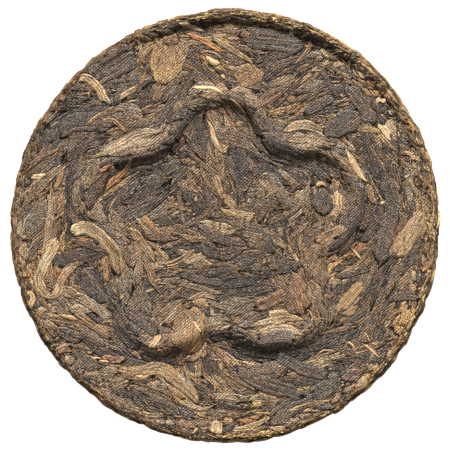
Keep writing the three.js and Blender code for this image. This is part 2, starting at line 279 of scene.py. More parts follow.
def pressed_mass():
    """A profile spun once round, its rings then drawn onto the cake's own surface."""
    count = len(MASS_STATIONS)
    bpy.ops.mesh.primitive_plane_add(size=0.01)
    piece = bpy.context.object
    piece.name = "pressed_mass"
    bpy.ops.object.mode_set(mode="EDIT")
    bpy.ops.mesh.delete(type="VERT")
    bpy.ops.object.mode_set(mode="OBJECT")
    piece.data.from_pydata(
        [(0, 0, 0.02)] + [(MM * (k + 1), 0, 0.02) for k in range(count)] + [(0, 0, 0)],
        [(k, k + 1) for k in range(count + 1)], [])
    bpy.ops.object.mode_set(mode="EDIT")
    bpy.ops.mesh.select_all(action="SELECT")
    bpy.ops.mesh.spin(steps=MASS_TURNS, angle=2 * math.pi, center=(0, 0, 0), axis=(0, 0, 1))
    bpy.ops.mesh.select_all(action="SELECT")
    bpy.ops.mesh.remove_doubles(threshold=1e-7)
    bpy.ops.object.mode_set(mode="OBJECT")
    place = np.zeros(len(piece.data.vertices) * 3)
    piece.data.vertices.foreach_get("co", place)
    place = place.reshape(-1, 3)
    angle = np.arctan2(place[:, 1], place[:, 0])
    ring = np.round(np.hypot(place[:, 0], place[:, 1]) / MM).astype(int)
    poles = ring == 0
    upper = poles & (place[:, 2] > 0.01)
    crumbs = np.random.default_rng(5).normal(0, 0.1, len(place))
    moved = np.zeros_like(place)
    for k, (part, share) in enumerate(MASS_STATIONS):
        here = ring == k + 1
        a = angle[here]
        depth = -CORE_DEPTH + crumbs[here]
        if part == "edge":
            moved[here] = on_edge(-a * CAKE_RADIUS, np.full(len(a), share * EDGE_LENGTH), depth)
        elif part == "face":
            radius = share * (side_radius(a) - FACE_END)
            moved[here] = on_face(radius * np.cos(a), radius * np.sin(a), depth)
        else:
            radius = share * (side_radius(a) - UNDERSIDE_END)
            moved[here] = on_underside(radius * np.cos(a), -radius * np.sin(a), depth)
    moved[upper] = (0, 0, face_height(np.zeros(1), np.zeros(1))[0] - CORE_DEPTH)
    moved[poles & ~upper] = (0, 0, UNDERSIDE_HEIGHT + CORE_DEPTH)
    piece.data.vertices.foreach_set("co", (moved * MM).ravel())
    piece.data.update()
    bpy.ops.object.mode_set(mode="EDIT")
    bpy.ops.mesh.select_all(action="SELECT")
    bpy.ops.mesh.normals_make_consistent(inside=False)
    bpy.ops.object.mode_set(mode="OBJECT")
    bpy.ops.object.shade_smooth()
    bpy.ops.object.select_all(action="DESELECT")
    return piece


def add_node(tree, kind, inputs=(), **settings):
    """A shader node. An input is a value, or a socket that is linked in."""
    made = tree.nodes.new(kind)
    for name, value in settings.items():
        setattr(made, name, value)
    for socket, value in dict(inputs).items():
        if isinstance(value, bpy.types.NodeSocket):
            tree.links.new(value, made.inputs[socket])
        else:
            made.inputs[socket].default_value = value
    return made


def add_noise(tree, at, scale, detail, roughness=0.5, distortion=0.0):
    return add_node(
        tree, "ShaderNodeTexNoise",
        {"Vector": at, "Scale": scale, "Detail": detail, "Roughness": roughness,
         "Distortion": distortion}).outputs["Fac"]


def linear(red, green, blue):
    """A colour given in 0 to 255 as seen, as the shader's linear values."""
    seen = [value / 255 for value in (red, green, blue)]
    return [v / 12.92 if v <= 0.04045 else ((v + 0.055) / 1.055) ** 2.4 for v in seen] + [1.0]


def mass_material():
    """Tea dust, gritty, with painted shade: it goes nearly black in the hollows of its grit, and is kept dark
    overall as the shade of the gaps where it shows.
    """
    material = bpy.data.materials.new("tea dust")
    material.use_nodes = True
    tree = material.node_tree
    shader = tree.nodes["Principled BSDF"]
    at = add_node(tree, "ShaderNodeTexCoord").outputs["Object"]
    grit = add_noise(tree, at, 900.0, 5.0, 0.8)
    # Painted shade: the low grit, which is also the hollows of its bump, is nearly black, and the whole ramp
    # is kept dark so the gaps read as shadow.
    shades = add_node(tree, "ShaderNodeValToRGB", {"Fac": grit})
    shades.color_ramp.elements[0].position = 0.4
    shades.color_ramp.elements[0].color = linear(26, 20, 15)
    shades.color_ramp.elements[1].position = 0.68
    shades.color_ramp.elements[1].color = linear(96, 75, 54)
    tree.links.new(shades.outputs["Color"], shader.inputs["Base Color"])
    relief = add_node(tree, "ShaderNodeBump", {"Height": grit, "Distance": 1.2 * MM})
    tree.links.new(relief.outputs[0], shader.inputs["Normal"])
    shader.inputs["Roughness"].default_value = 0.9
    return material


mass = pressed_mass()
mass.data.materials.append(mass_material())
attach(mass, "root")
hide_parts("tea_cake")


# ---- Pale stalks and chips ----
# Splinters of stalk and bleached leaf that stayed light when the tea fermented. The show leaves
# go into the mould first, so they lie on top once the cake is turned out.


OPEN = 5.0


class Pile:
    """One side of the cake, packed with leaves from its surface inwards.

    It keeps the level that is still free below the leaves laid so far, and is OPEN where none lies."""

    cell = 0.4

    def __init__(self, span_a, span_b, wraps, to_space, holds):
        self.low = np.array([span_a[0], span_b[0]])
        self.count = (
            int(round((span_a[1] - span_a[0]) / self.cell)),
            int(round((span_b[1] - span_b[0]) / self.cell)),
        )
        self.wraps = wraps
        self.to_space = to_space
        self.free = np.full(self.count, OPEN)
        grid_a, grid_b = np.meshgrid(
            self.low[0] + (np.arange(self.count[0]) + 0.5) * self.cell,
            self.low[1] + (np.arange(self.count[1]) + 0.5) * self.cell, indexing="ij")
        self.holds = holds(grid_a, grid_b)

    def cells(self, a, b):
        i = np.floor((a - self.low[0]) / self.cell).astype(int)
        j = np.floor((b - self.low[1]) / self.cell).astype(int)
        i = i % self.count[0] if self.wraps else np.clip(i, 0, self.count[0] - 1)
        return i, np.clip(j, 0, self.count[1] - 1)

    def roof(self, a, b):
        """The lowest free level close round each place."""
        level = self.free[self.cells(a, b)]
        for step_a, step_b in ((0.35, 0), (-0.35, 0), (0, 0.35), (0, -0.35)):
            level = np.minimum(level, self.free[self.cells(a + step_a, b + step_b)])
        return level

    def open_places(self):
        """The cells where no leaf lies yet, and their share of the whole."""
        cells = np.argwhere((self.free == OPEN) & self.holds)
        return self.low + (cells + 0.5) * self.cell, len(cells) / self.holds.sum()


ACROSS = (-102, 102)
face = Pile(ACROSS, ACROSS, False, on_face, lambda a, b: np.hypot(a, b) < CAKE_RADIUS - 1.5)


def add_math(tree, operation, *values):
    return add_node(tree, "ShaderNodeMath", dict(enumerate(values)), operation=operation).outputs[0]


def add_vector(tree, operation, vector, other):
    """Vector maths, where SCALE takes a number as the other one."""
    second = "Scale" if operation == "SCALE" else 1
    return add_node(tree, "ShaderNodeVectorMath", {0: vector, second: other}, operation=operation).outputs[0]


def add_range(tree, value, from_start, from_end, to_start, to_end):
    """The value taken from one range to another, and held at its ends."""
    return add_node(
        tree, "ShaderNodeMapRange",
        {"Value": value, "From Min": from_start, "From Max": from_end, "To Min": to_start,
         "To Max": to_end}).outputs[0]


def new_group(name, inputs, outputs):
    group = bpy.data.node_groups.new(name, "ShaderNodeTree")
    for socket, value in inputs.items():
        made = group.interface.new_socket(socket, in_out="INPUT", socket_type="NodeSocketFloat")
        made.default_value = value
    for socket in outputs:
        group.interface.new_socket(socket, in_out="OUTPUT", socket_type="NodeSocketFloat")
    return group, group.nodes.new("NodeGroupInput"), group.nodes.new("NodeGroupOutput")


# The weft, the warp and the slant that the two make: degrees, thread in millimetres, strength.
CLOTH_THREADS = [(49.4, 1.07, 1.0), (-77.7, 1.26, 0.32), (-40, 0.79, 0.5)]
# One wave of the wave texture at scale 1, in metres.
WAVE_LENGTH = 0.314159
# Radii in metres: up to the first one the print is whole, and at the second, on the rim, it ends.
PRINT_WHOLE = 0.094
PRINT_END = 0.0965


def cloth_imprint_group():
    """The threads of the pressing cloth, pressed into the face and the underside."""
    group, given, gives = new_group("cloth imprint", {"Strength": 1.0}, ["Height"])
    at = add_node(group, "ShaderNodeTexCoord").outputs["Object"]
    bend = add_node(group, "ShaderNodeTexNoise", {"Vector": at, "Scale": 30.0, "Detail": 1.0})
    at_bent = add_vector(group, "ADD", at, add_vector(group, "SCALE", bend.outputs["Color"], 2.0 * MM))
    height = -sum(strength for _, _, strength in CLOTH_THREADS) / 2
    for turn, thread, strength in CLOTH_THREADS:
        turned = add_node(
            group, "ShaderNodeMapping", {"Vector": at_bent, "Rotation": (0, 0, math.radians(turn))})
        wave = add_node(
            group, "ShaderNodeTexWave",
            {"Vector": turned.outputs["Vector"], "Scale": WAVE_LENGTH / (thread * MM), "Distortion": 0.5,
             "Detail": 1.0, "Detail Scale": 0.8},
            wave_type="BANDS", bands_direction="X", wave_profile="SIN")
        height = add_math(group, "MULTIPLY_ADD", wave.outputs["Fac"], strength, height)
    patchy = add_range(group, add_noise(group, at, 60.0, 2.0), 0.38, 0.62, 0.4, 1.0)
    flat = add_vector(group, "MULTIPLY", at, (1, 1, 0))
    reach = add_node(group, "ShaderNodeVectorMath", {0: flat}, operation="LENGTH").outputs["Value"]
    inside = add_range(group, reach, PRINT_END, PRINT_WHOLE, 0.0, 1.0)
    amount = add_math(group, "MULTIPLY", patchy, inside)
    amount = add_math(group, "MULTIPLY", amount, given.outputs["Strength"])
    group.links.new(add_math(group, "MULTIPLY", height, amount), gives.inputs["Height"])
    return group


def leaf_grain_group():
    """What a dry leaf shows close up: fibres along it, mottling, specks, and painted shade in its creases and
    along its borders, with a painted highlight on some borders.
    """
    group, given, gives = new_group(
        "leaf grain", {"Fibre": 1.0, "Mottle": 1.0, "Speckle": 1.0},
        ["Tint", "Grain", "Specks", "Blotch", "Height", "Tone", "Warm"])
    along = add_node(group, "ShaderNodeUVMap", uv_map="leaf").outputs["UV"]
    at = add_node(group, "ShaderNodeTexCoord").outputs["Object"]
    crease_and_edge_shading, tone, warm = (
        add_node(group, "ShaderNodeAttribute", attribute_name=name).outputs["Fac"]
        for name in ("crease_and_edge_shading", "tone", "warm"))
    fibres = add_noise(group, add_vector(group, "MULTIPLY", along, (12.0, 130.0, 1.0)), 1.0, 3.0, 0.6, 0.3)
    hairs = add_noise(group, add_vector(group, "MULTIPLY", along, (55.0, 330.0, 1.0)), 1.0, 2.0)
    mottle = add_noise(group, at, 260.0, 3.0, 0.6)
    fine = add_noise(group, at, 2000.0, 3.0, 0.8)
    blotch = add_noise(group, at, 110.0, 3.0, 0.6)
    tinge = add_noise(group, at, 340.0, 2.0, 0.7)

    def centred(noise):
        return add_math(group, "SUBTRACT", noise, 0.5)

    def weighed(value, weight):
        return add_math(group, "MULTIPLY", value, given.outputs[weight])

    fibre_part = weighed(centred(fibres), "Fibre")
    mottle_part = weighed(centred(mottle), "Mottle")
    fine_part = weighed(centred(fine), "Speckle")
    hair_part = weighed(centred(hairs), "Speckle")
    cracks = add_range(group, fibres, 0.41, 0.33, 0.0, -0.5)
    veins = add_range(group, fibres, 0.6, 0.68, 0.0, 0.4)
    lines = weighed(add_math(group, "ADD", cracks, veins), "Fibre")
    broad = add_math(group, "MULTIPLY_ADD", fibre_part, 1.6, add_math(group, "MULTIPLY", mottle_part, 0.6))
    height = add_math(group, "MULTIPLY_ADD", lines, 0.5, broad)
    height = add_math(group, "MULTIPLY_ADD", fine_part, 0.6, height)
    # Painted shade in the creases and along the leaf's borders; a value below nought paints a highlight
    # there.
    painted_shading_factor = add_math(group, "MULTIPLY_ADD", crease_and_edge_shading, -0.62, 1.0)
    light = 1.0
    for part, share in ((fine_part, 3.9), (hair_part, 1.5), (lines, 1.0), (broad, 0.5)):
        light = add_math(group, "MULTIPLY_ADD", part, share, light)
    light = add_math(group, "MAXIMUM", light, 0.15)
    shading_strength = add_math(group, "ABSOLUTE", crease_and_edge_shading)
    for part, share in ((centred(tinge), 7.0), (centred(fibres), 3.0), (shading_strength, 1.2)):
        warm = add_math(group, "MULTIPLY_ADD", part, share, warm)
    dusty = add_math(group, "MULTIPLY_ADD", hair_part, 0.4, add_math(group, "MULTIPLY", fine_part, 1.3))
    shown = {
        "Tint": add_math(group, "MULTIPLY", light, painted_shading_factor),
        "Grain": add_math(group, "MULTIPLY", dusty, painted_shading_factor),
        "Specks": weighed(add_range(group, fine, 0.56, 0.72, 0.0, 1.0), "Speckle"),
        "Blotch": add_range(group, blotch, 0.46, 0.64, 0.0, 1.0),
        "Height": height,
        "Tone": add_math(group, "MULTIPLY_ADD", broad, 0.7, tone),
        "Warm": warm,
    }
    for socket, value in shown.items():
        group.links.new(value, gives.inputs[socket])
    return group


cloth_imprint = cloth_imprint_group()
leaf_grain = leaf_grain_group()

SPECK_SHARE = 0.12
LEAF_ROUGHNESS = 0.75
LEAF_SHINE = 0.25
# How red, green and blue change as a leaf gets warmer: gain, and level where it is neither.
WARMING = [(0.06, 0.99), (-0.015, 0.93), (-0.12, 0.79)]
# Linear values: light dust in the grain, also added as a painted highlight on the cloth's raised threads, and
# the darkest that a leaf gets.
DUST_AND_WEAVE_LIGHT_COLOUR = (1.0, 0.94, 0.87)
DARKEST_COLOUR = (0.017, 0.012, 0.008)


def leaf_material(name, shades, speck_colour, blotch_colour, fibre=1.0, mottle=1.0, speckle=1.0,
                  blotches=0.4, imprint=1.0, relief=0.22):
    """A dry leaf: its shades by tone, its grain and the cloth's imprint over it, with painted shade in its
    creases and borders and painted light and shade on the cloth's threads.
    """
    material = bpy.data.materials.new(name)
    material.use_nodes = True
    tree = material.node_tree
    shader = tree.nodes["Principled BSDF"]
    grain = add_node(
        tree, "ShaderNodeGroup", {"Fibre": fibre, "Mottle": mottle, "Speckle": speckle},
        node_tree=leaf_grain).outputs
    threads = add_node(
        tree, "ShaderNodeGroup", {"Strength": imprint}, node_tree=cloth_imprint).outputs["Height"]
    ramp = add_node(tree, "ShaderNodeValToRGB", {"Fac": grain["Tone"]})
    while len(ramp.color_ramp.elements) < len(shades):
        ramp.color_ramp.elements.new(0.5)
    for k, shade in enumerate(shades):
        ramp.color_ramp.elements[k].position = k / (len(shades) - 1)
        ramp.color_ramp.elements[k].color = linear(*shade)
    colour = ramp.outputs["Color"]
    for mask, amount, other in (("Blotch", blotches, blotch_colour), ("Specks", SPECK_SHARE, speck_colour)):
        share = add_math(tree, "MULTIPLY", grain[mask], amount)
        colour = add_node(
            tree, "ShaderNodeMix", {0: share, 6: colour, 7: linear(*other)}, data_type="RGBA").outputs[2]
    # The cloth's threads also go into the colour: painted light on the raised threads and painted shade
    # between them.
    painted_weave_shading = add_math(tree, "MULTIPLY_ADD", threads, 0.5, 1.0)
    colour = add_vector(tree, "SCALE", colour, add_math(tree, "MULTIPLY", grain["Tint"], painted_weave_shading))
    warmed = [add_math(tree, "MULTIPLY_ADD", grain["Warm"], gain, level) for gain, level in WARMING]
    warmed = add_node(tree, "ShaderNodeCombineXYZ", dict(enumerate(warmed))).outputs[0]
    colour = add_vector(tree, "MULTIPLY", colour, warmed)
    # Light dust from the grain, and a painted highlight on the cloth's raised threads.
    dust = add_math(tree, "MULTIPLY_ADD", threads, 0.15, grain["Grain"])
    colour = add_vector(tree, "ADD", colour, add_vector(tree, "SCALE", DUST_AND_WEAVE_LIGHT_COLOUR, dust))
    colour = add_vector(tree, "MAXIMUM", colour, DARKEST_COLOUR)
    tree.links.new(colour, shader.inputs["Base Color"])
    height = add_math(tree, "MULTIPLY_ADD", threads, 0.45, grain["Height"])
    bump = add_node(tree, "ShaderNodeBump", {"Height": height, "Strength": 1.0, "Distance": relief * MM})
    tree.links.new(bump.outputs[0], shader.inputs["Normal"])
    dull = add_range(tree, grain["Height"], -0.4, 0.4, LEAF_ROUGHNESS + 0.1, LEAF_ROUGHNESS - 0.1)
    tree.links.new(dull, shader.inputs["Roughness"])
    shader.inputs["Specular IOR Level"].default_value = LEAF_SHINE
    return material


class Leaves:
    """Leaves of one kind, each a closed thin solid, that become one mesh."""

    def __init__(self, name, material):
        self.name, self.material = name, material
        self.points, self.faces, self.uvs, self.tones, self.crease_and_edge_shadings = [], [], [], [], []
        self.count = 0


def smooth_along(values, passes):
    for _ in range(passes):
        padded = np.concatenate([values[:1], values, values[-1:]])
        values = 0.25 * padded[:-2] + 0.5 * padded[1:-1] + 0.25 * padded[2:]
    return values


def leaf_line(points, step):
    """Evenly spaced points on a smooth line through the given ones, with their directions."""
    points = np.array(points, float)
    padded = np.concatenate([[2 * points[0] - points[1]], points, [2 * points[-1] - points[-2]]])
    fine = []
    for k in range(1, len(padded) - 2):
        t = np.linspace(0, 1, 12, endpoint=False)[:, None]
        p0, p1, p2, p3 = padded[k - 1 : k + 3]
        fine.append(0.5 * (
            2 * p1 + (p2 - p0) * t + (2 * p0 - 5 * p1 + 4 * p2 - p3) * t**2
            + (3 * p1 - p0 - 3 * p2 + p3) * t**3))
    fine = np.concatenate(fine + [points[-1:]])
    lengths = np.concatenate([[0], np.cumsum(np.linalg.norm(np.diff(fine, axis=0), axis=1))])
    count = max(4, int(round(lengths[-1] / step)))
    run = np.linspace(0, lengths[-1], count + 1)
    line = np.stack([np.interp(run, lengths, fine[:, 0]), np.interp(run, lengths, fine[:, 1])], -1)
    heading = np.gradient(line, axis=0)
    heading /= np.linalg.norm(heading, axis=1, keepdims=True)
    return line, heading, lengths[-1]


def arc_points(x, y, heading, length, bend=0.0):
    """Points along an arc whose middle lies at x, y."""
    shares = np.linspace(-0.5, 0.5, 5)
    turn = bend if abs(bend) > 0.02 else 0.02
    ahead = length / turn * np.sin(turn * shares)
    aside = length / turn * (1 - np.cos(turn * shares))
    c, s = math.cos(heading), math.sin(heading)
    return np.stack([x + c * ahead - s * aside, y + s * ahead + c * aside], -1)


CREASE_HALF_WIDTH = 0.3
LEAF_LIP = 0.28
LANE_GAP = 1.5


def leaf_lanes(width, creases, draw):
    """Places across a leaf from -1 to 1, and the number of the crease that each lies in, or -1."""
    lip = 1 - min(LEAF_LIP / (width / 2), 0.45)
    gap = CREASE_HALF_WIDTH / (width / 2)
    centres = []
    for k in range(creases):
        centres.append(-lip + 2 * lip * (k + 1 + draw.uniform(-0.3, 0.3)) / (creases + 1))
    stops = [(-1, -1), (-lip, -1)]
    for k, centre in enumerate(centres):
        stops += [(centre - gap, -1), (centre, k), (centre + gap, -1)]
    stops += [(lip, -1), (1, -1)]
    lanes = [stops[0]]
    for stop in stops[1:]:
        pieces = int((stop[0] - lanes[-1][0]) * width / 2 / LANE_GAP) + 1
        start = lanes[-1][0]
        lanes += [(start + (stop[0] - start) * m / pieces, -1) for m in range(1, pieces)]
        lanes.append(stop)
    if len(lanes) % 2 == 0:
        gaps = [after[0] - before[0] for before, after in zip(lanes, lanes[1:])]
        wide = gaps.index(max(gaps))
        lanes.insert(wide + 1, ((lanes[wide][0] + lanes[wide + 1][0]) / 2, -1))
    return np.array([lane[0] for lane in lanes]), np.array([lane[1] for lane in lanes])


def sample_grid(grid, rows, columns):
    """The grid's values between its points, at fractions of its rows and columns."""
    i = np.minimum(rows.astype(int), grid.shape[0] - 2)
    j = np.minimum(columns.astype(int), grid.shape[1] - 2)
    u, v = (rows - i)[:, None], (columns - j)[None, :]
    near = grid[i][:, j] * (1 - v) + grid[i][:, j + 1] * v
    far = grid[i + 1][:, j] * (1 - v) + grid[i + 1][:, j + 1] * v
    return near * (1 - u) + far * u


# A leaf's footprint is looked at this closely, along and across.
LOOK_ALONG = 0.3
LOOK_ACROSS = 0.28
CLEARANCE = 0.05


def lay_leaf(leaves, pile, points, width, draw, tone=0.5, to_tone=None, proud=0.0, thickness=0.35,
             tips=(0.12, 0.12), blunt=0.5, creases=0, crown=0.1, step=1.3, waver=0.14, torn=0.06,
             crease_depth=0.2, least=0.0, lean=0.0, streak=0.06, slant=0.1):
    """Fits one leaf under what already lies on the pile, or flush with its surface where it is open."""
    line, heading, length = leaf_line(points, step)
    n = len(line) - 1
    share = np.linspace(0, 1, n + 1)
    across, crease_at = leaf_lanes(width, creases, draw)
    lanes = len(across)
    start = np.minimum(share / tips[0], 1) ** blunt
    end = np.minimum((1 - share) / tips[1], 1) ** blunt
    slow = smooth_along(draw.normal(0, 1.4, n + 1), 3)
    half = width / 2 * np.maximum(start * end, 0.16) * np.clip(1 + waver * slow, 0.5, 1.4)
    left = np.stack([-heading[:, 1], heading[:, 0]], -1)
    drift = smooth_along(draw.normal(0, 0.25, n + 1), 4) * min(width, 4) / 3
    spread = across[None, :] * half[:, None] + drift[:, None]
    # A torn end: each lane starts and stops a little sooner or later, on a slant.
    cut = torn * draw.uniform(0, 1, (2, lanes))
    for side in cut:
        tilt = slant * draw.uniform(-1, 1)
        side += (tilt * across + abs(tilt)) / 2
    run = cut[0][None, :] + share[:, None] * (1 - cut[0] - cut[1])[None, :]
    a = np.interp(run, share, line[:, 0]) + left[:, 0:1] * spread
    b = np.interp(run, share, line[:, 1]) + left[:, 1:2] * spread
    # Its own relief: crowned, creased along, and a little wavy.
    groove = np.zeros((n + 1, lanes))
    for k in range(creases):
        middle, reach = draw.uniform(0.15, 0.85), draw.uniform(0.25, 0.8)
        active = np.clip(1.3 - np.abs(share - middle) / reach * 1.3, 0, 1)
        groove[:, crease_at == k] = active[:, None]
    level = (
        proud
        + crown * (1 - across[None, :] ** 2)
        + lean * across[None, :]
        + 0.1 * smooth_along(draw.normal(0, 1, (n + 1, lanes)), 6)
        + 0.5 * crown * smooth_along(draw.normal(0, 1, (n + 1, 1)), 1)
        - crease_depth * groove
    )
    # Fine samples of its footprint show what is seen of it, and only that length of it is made.
    fine_i = np.linspace(0, n, max(4, int(length / LOOK_ALONG)))[1:-1]
    fine_j = np.interp(np.linspace(-1, 1, max(5, int(width / LOOK_ACROSS))), across, np.arange(lanes))[1:-1]
    seen = pile.free[pile.cells(sample_grid(a, fine_i, fine_j), sample_grid(b, fine_i, fine_j))] == OPEN
    if seen.mean() < least or not seen.any():
        return
    shown = fine_i[seen.any(axis=1)]
    first = min(max(int(shown[0]) - 1, 0), n - 2)
    kept = slice(first, max(min(int(shown[-1]) + 3, n + 1), first + 3))
    a, b, level, groove, spread, run, share = (
        rows[kept] for rows in (a, b, level, groove, spread, run, share))
    roof = pile.roof(a, b)
    top = np.minimum(level, roof - CLEARANCE)
    lip_level = np.minimum(proud - 0.6 * thickness, roof - CLEARANCE - 0.5 * thickness)
    borders = (np.s_[:, 0], np.s_[:, -1], np.s_[0, :], np.s_[-1, :])
    for border in borders:
        top[border] = lip_level[border]
    # Below it is plainer: three lanes, each under the lowest of the lanes above it.
    stops = [0, (lanes - 1) // 4, (lanes - 1) // 2, 3 * (lanes - 1) // 4, lanes - 1]
    lowest = [top[1:-1, before : after + 1].min(axis=1) for before, after in zip(stops, stops[2:])]
    lower = np.stack(lowest, -1) - 0.6 * thickness
    fine_i = np.linspace(0, len(a) - 1, max(4, int(length / n * len(a) / LOOK_ALONG)))[1:-1]
    cells = pile.cells(sample_grid(a, fine_i, fine_j), sample_grid(b, fine_i, fine_j))
    np.minimum.at(pile.free, cells, sample_grid(top, fine_i, fine_j) - 0.55 * thickness)
    upper = pile.to_space(a, b, top)
    middle = np.s_[1:-1, stops[1:4]]
    under = pile.to_space(a[middle], b[middle], lower)
    index = np.arange(a.size).reshape(a.shape) + leaves.count
    below = leaves.count + a.size + np.arange(lower.size).reshape(lower.shape)
    below = np.concatenate([index[1:-1, :1], below, index[1:-1, -1:]], 1)
    for grid, order in ((index, [0, 1, 2, 3]), (below, [3, 2, 1, 0])):
        corners = np.stack([grid[:-1, :-1], grid[1:, :-1], grid[1:, 1:], grid[:-1, 1:]], -1)
        leaves.faces.append(corners[..., order].reshape(-1, 4))
    for path, hub in (
        (np.concatenate([below[0, 1::-1], index[0], below[0, :2:-1]]), below[0, 2]),
        (np.concatenate([below[-1, 3:], index[-1, ::-1], below[-1, :2]]), below[-1, 2]),
    ):
        fan = [np.full((len(path) - 1) // 2, hub), path[:-2:2], path[1:-1:2], path[2::2]]
        leaves.faces.append(np.stack(fan, -1))
    offset = draw.uniform(0, 50, 2)
    uv = np.stack([run * length + offset[0], spread + offset[1]], -1) * 0.01
    to_tone = tone if to_tone is None else to_tone
    panel = streak * draw.normal(0, 1, lanes)
    shade = (tone + (to_tone - tone) * share)[:, None] + panel[None, :]
    # Painted shade along the creases and the borders; a value below nought paints a highlight on that border.
    crease_and_edge_shading = groove.copy()
    for border in borders:
        crease_and_edge_shading[border] = draw.uniform(-0.45, 0.85)
    for store, grid in ((leaves.points, upper), (leaves.uvs, uv)):
        store.append(grid.reshape(-1, grid.shape[-1]))
    leaves.points.append(under.reshape(-1, 3))
    leaves.uvs.append(uv[middle].reshape(-1, 2))
    for store, grid in ((leaves.tones, shade), (leaves.crease_and_edge_shadings, crease_and_edge_shading)):
        store.append(grid.ravel())
        store.append(grid[middle].ravel())
    leaves.count += a.size + lower.size


def finish_leaves(leaves, warm_at=None):
    """All the leaves of one kind in one mesh."""
    points = np.concatenate(leaves.points) * MM
    faces = np.concatenate(leaves.faces)
    mesh = bpy.data.meshes.new(leaves.name)
    mesh.vertices.add(len(points))
    mesh.vertices.foreach_set("co", points.ravel())
    mesh.loops.add(faces.size)
    mesh.loops.foreach_set("vertex_index", faces.ravel())
    mesh.polygons.add(len(faces))
    mesh.polygons.foreach_set("loop_start", np.arange(0, faces.size, 4))
    mesh.update(calc_edges=True)
    mesh.polygons.foreach_set("use_smooth", np.ones(len(faces), bool))
    corners = np.concatenate(leaves.uvs)[faces.ravel()]
    mesh.uv_layers.new(name="leaf").uv.foreach_set("vector", corners.ravel())
    marks = {"tone": np.concatenate(leaves.tones), "crease_and_edge_shading": np.concatenate(leaves.crease_and_edge_shadings)}
    marks["warm"] = warm_at(points[:, 0] / MM, points[:, 1] / MM) if warm_at else np.zeros(len(points))
    for attribute, values in marks.items():
        mesh.attributes.new(attribute, "FLOAT", "POINT").data.foreach_set("value", values)
    mesh.validate()
    piece = bpy.data.objects.new(leaves.name, mesh)
    bpy.context.collection.objects.link(piece)
    mesh.materials.append(leaves.material)
    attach(piece, "root")


flow = []


def note_flow(points):
    """Smaller leaves lie along the bigger ones near them, so how those lie is kept."""
    points = np.array(points, float)
    for start, end in zip(points, points[1:]):
        heading = math.atan2(end[1] - start[1], end[0] - start[0])
        flow.append((*(start + end) / 2, math.cos(2 * heading), math.sin(2 * heading)))


def lay_strips(leaves, rows, draw, **how):
    """Rows of (points, width, tone, tone at the far end)."""
    for points, width, tone, to_tone in rows:
        note_flow(points)
        lay_leaf(leaves, face, points, width, draw, tone, to_tone, **how)


def lay_patches(leaves, rows, draw, **how):
    """Rows of (x, y, heading in degrees, length, width, tone)."""
    for x, y, heading, length, width, tone in rows:
        points = arc_points(x, y, math.radians(heading), length)
        if length > 8:
            note_flow(points)
        lay_leaf(leaves, face, points, width, draw, tone, tone, **how)


PALE_STALKS = [
    ([(-23, 93.5), (-16, 91.6), (-9, 89)], 2.5, 0.4, 0.5),
    ([(-9.7, 79), (-6.4, 75.5), (-1.8, 73.6)], 3.0, 0.65, 0.5),
    ([(-3, 69.6), (0.2, 67.6)], 1.8, 0.6, 0.5),
    ([(-17, 63.6), (-7, 63.6), (-3.8, 62.3), (0.2, 59.6)], 1.7, 0.7, 0.7),
    ([(0.2, 59.6), (5, 56), (10, 50)], 1.5, 0.45, 0.3),
    ([(-9.4, 49.7), (-6.8, 45), (-5.8, 40.4), (-3, 35.8), (0.2, 32.5)], 2.4, 0.55, 0.4),
    ([(53.5, 37), (57.5, 31), (61.5, 23.5), (66, 19)], 3.0, 0.3, 0.35),
    ([(57, -9.6), (62.8, -16)], 1.2, 0.6, 0.6),
    ([(61.5, -53), (71.4, -61.3)], 1.6, 0.4, 0.4),
    ([(-59, -62), (-53, -62.3)], 1.5, 0.6, 0.5),
    ([(-16.4, -42.7), (-10.4, -50)], 1.2, 0.7, 0.6),
    ([(-78.3, -40.8), (-67, -43)], 2.5, 0.2, 0.15),
    ([(40.3, 18), (43.6, 19.6), (46.6, 17.5)], 2.3, 0.6, 0.6),
]
PALE_CHIPS = [
    ([(70, 47.7), (76.7, 39)], 3.5, 0.85, 0.8),
    ([(-90.6, 22.5), (-82, 22.9)], 2.5, 0.6, 0.6),
    ([(51, -40.5), (56, -33.5), (62.8, -26)], 5.6, 0.25, 0.2),
    ([(53, -41.4), (61.8, -37.4)], 3.4, 0.1, 0.0),
    ([(-35.6, -57), (-29.6, -49.4)], 2.5, 0.5, 0.5),
    ([(-9, 22.5), (-6.4, 25), (-3.8, 19), (-1.8, 13)], 3.4, 0.25, 0.2),
    ([(-92, -29.5), (-88.6, -32.8), (-91.3, -38.8)], 2.8, 0.5, 0.4),
]
PALE_BITS = [
    (71, 57.6, 35, 5, 3.6, 0.95),
    (72, 10.6, -20, 2.4, 2, 0.8),
    (-40, -69.3, 10, 5, 1.5, 0.7),
    (-14.4, -94, 20, 4, 2.5, 0.5),
    (22.5, 94.7, -15, 4, 2.5, 0.8),
    (-13, 95.4, 10, 3, 2, 0.6),
    (-88, 52, 60, 2.4, 1.8, 0.4),
]
pale = Leaves("pale_stalks", leaf_material(
    "pale stalks", [(136, 110, 82), (176, 150, 118), (208, 184, 150), (232, 216, 184)],
    (236, 224, 196), (170, 130, 84), imprint=0.5, speckle=0.6, fibre=0.7))
draw = np.random.default_rng(11)
lay_strips(
    pale, PALE_STALKS, draw, proud=0.15, thickness=0.5, crown=0.2, waver=0.2, torn=0.12, streak=0.12,
    tips=(0.25, 0.35), blunt=0.8)
lay_strips(
    pale, PALE_CHIPS, draw, proud=0.12, thickness=0.45, crown=0.04, creases=2, torn=0.08, streak=0.12,
    tips=(0.04, 0.1), blunt=0.35, slant=0.35, crease_depth=0.12)
lay_patches(
    pale, PALE_BITS, draw, proud=0.12, thickness=0.4, crown=0.04, torn=0.1, step=0.8, streak=0.12, slant=0.5,
    tips=(0.05, 0.1), blunt=0.4)


# ---- Gold strips ----
# Buds and young leaves, twisted in the rolling, that dried golden. The longest curl into a hook
# and a fork at the left and a long bent trunk at the bottom.

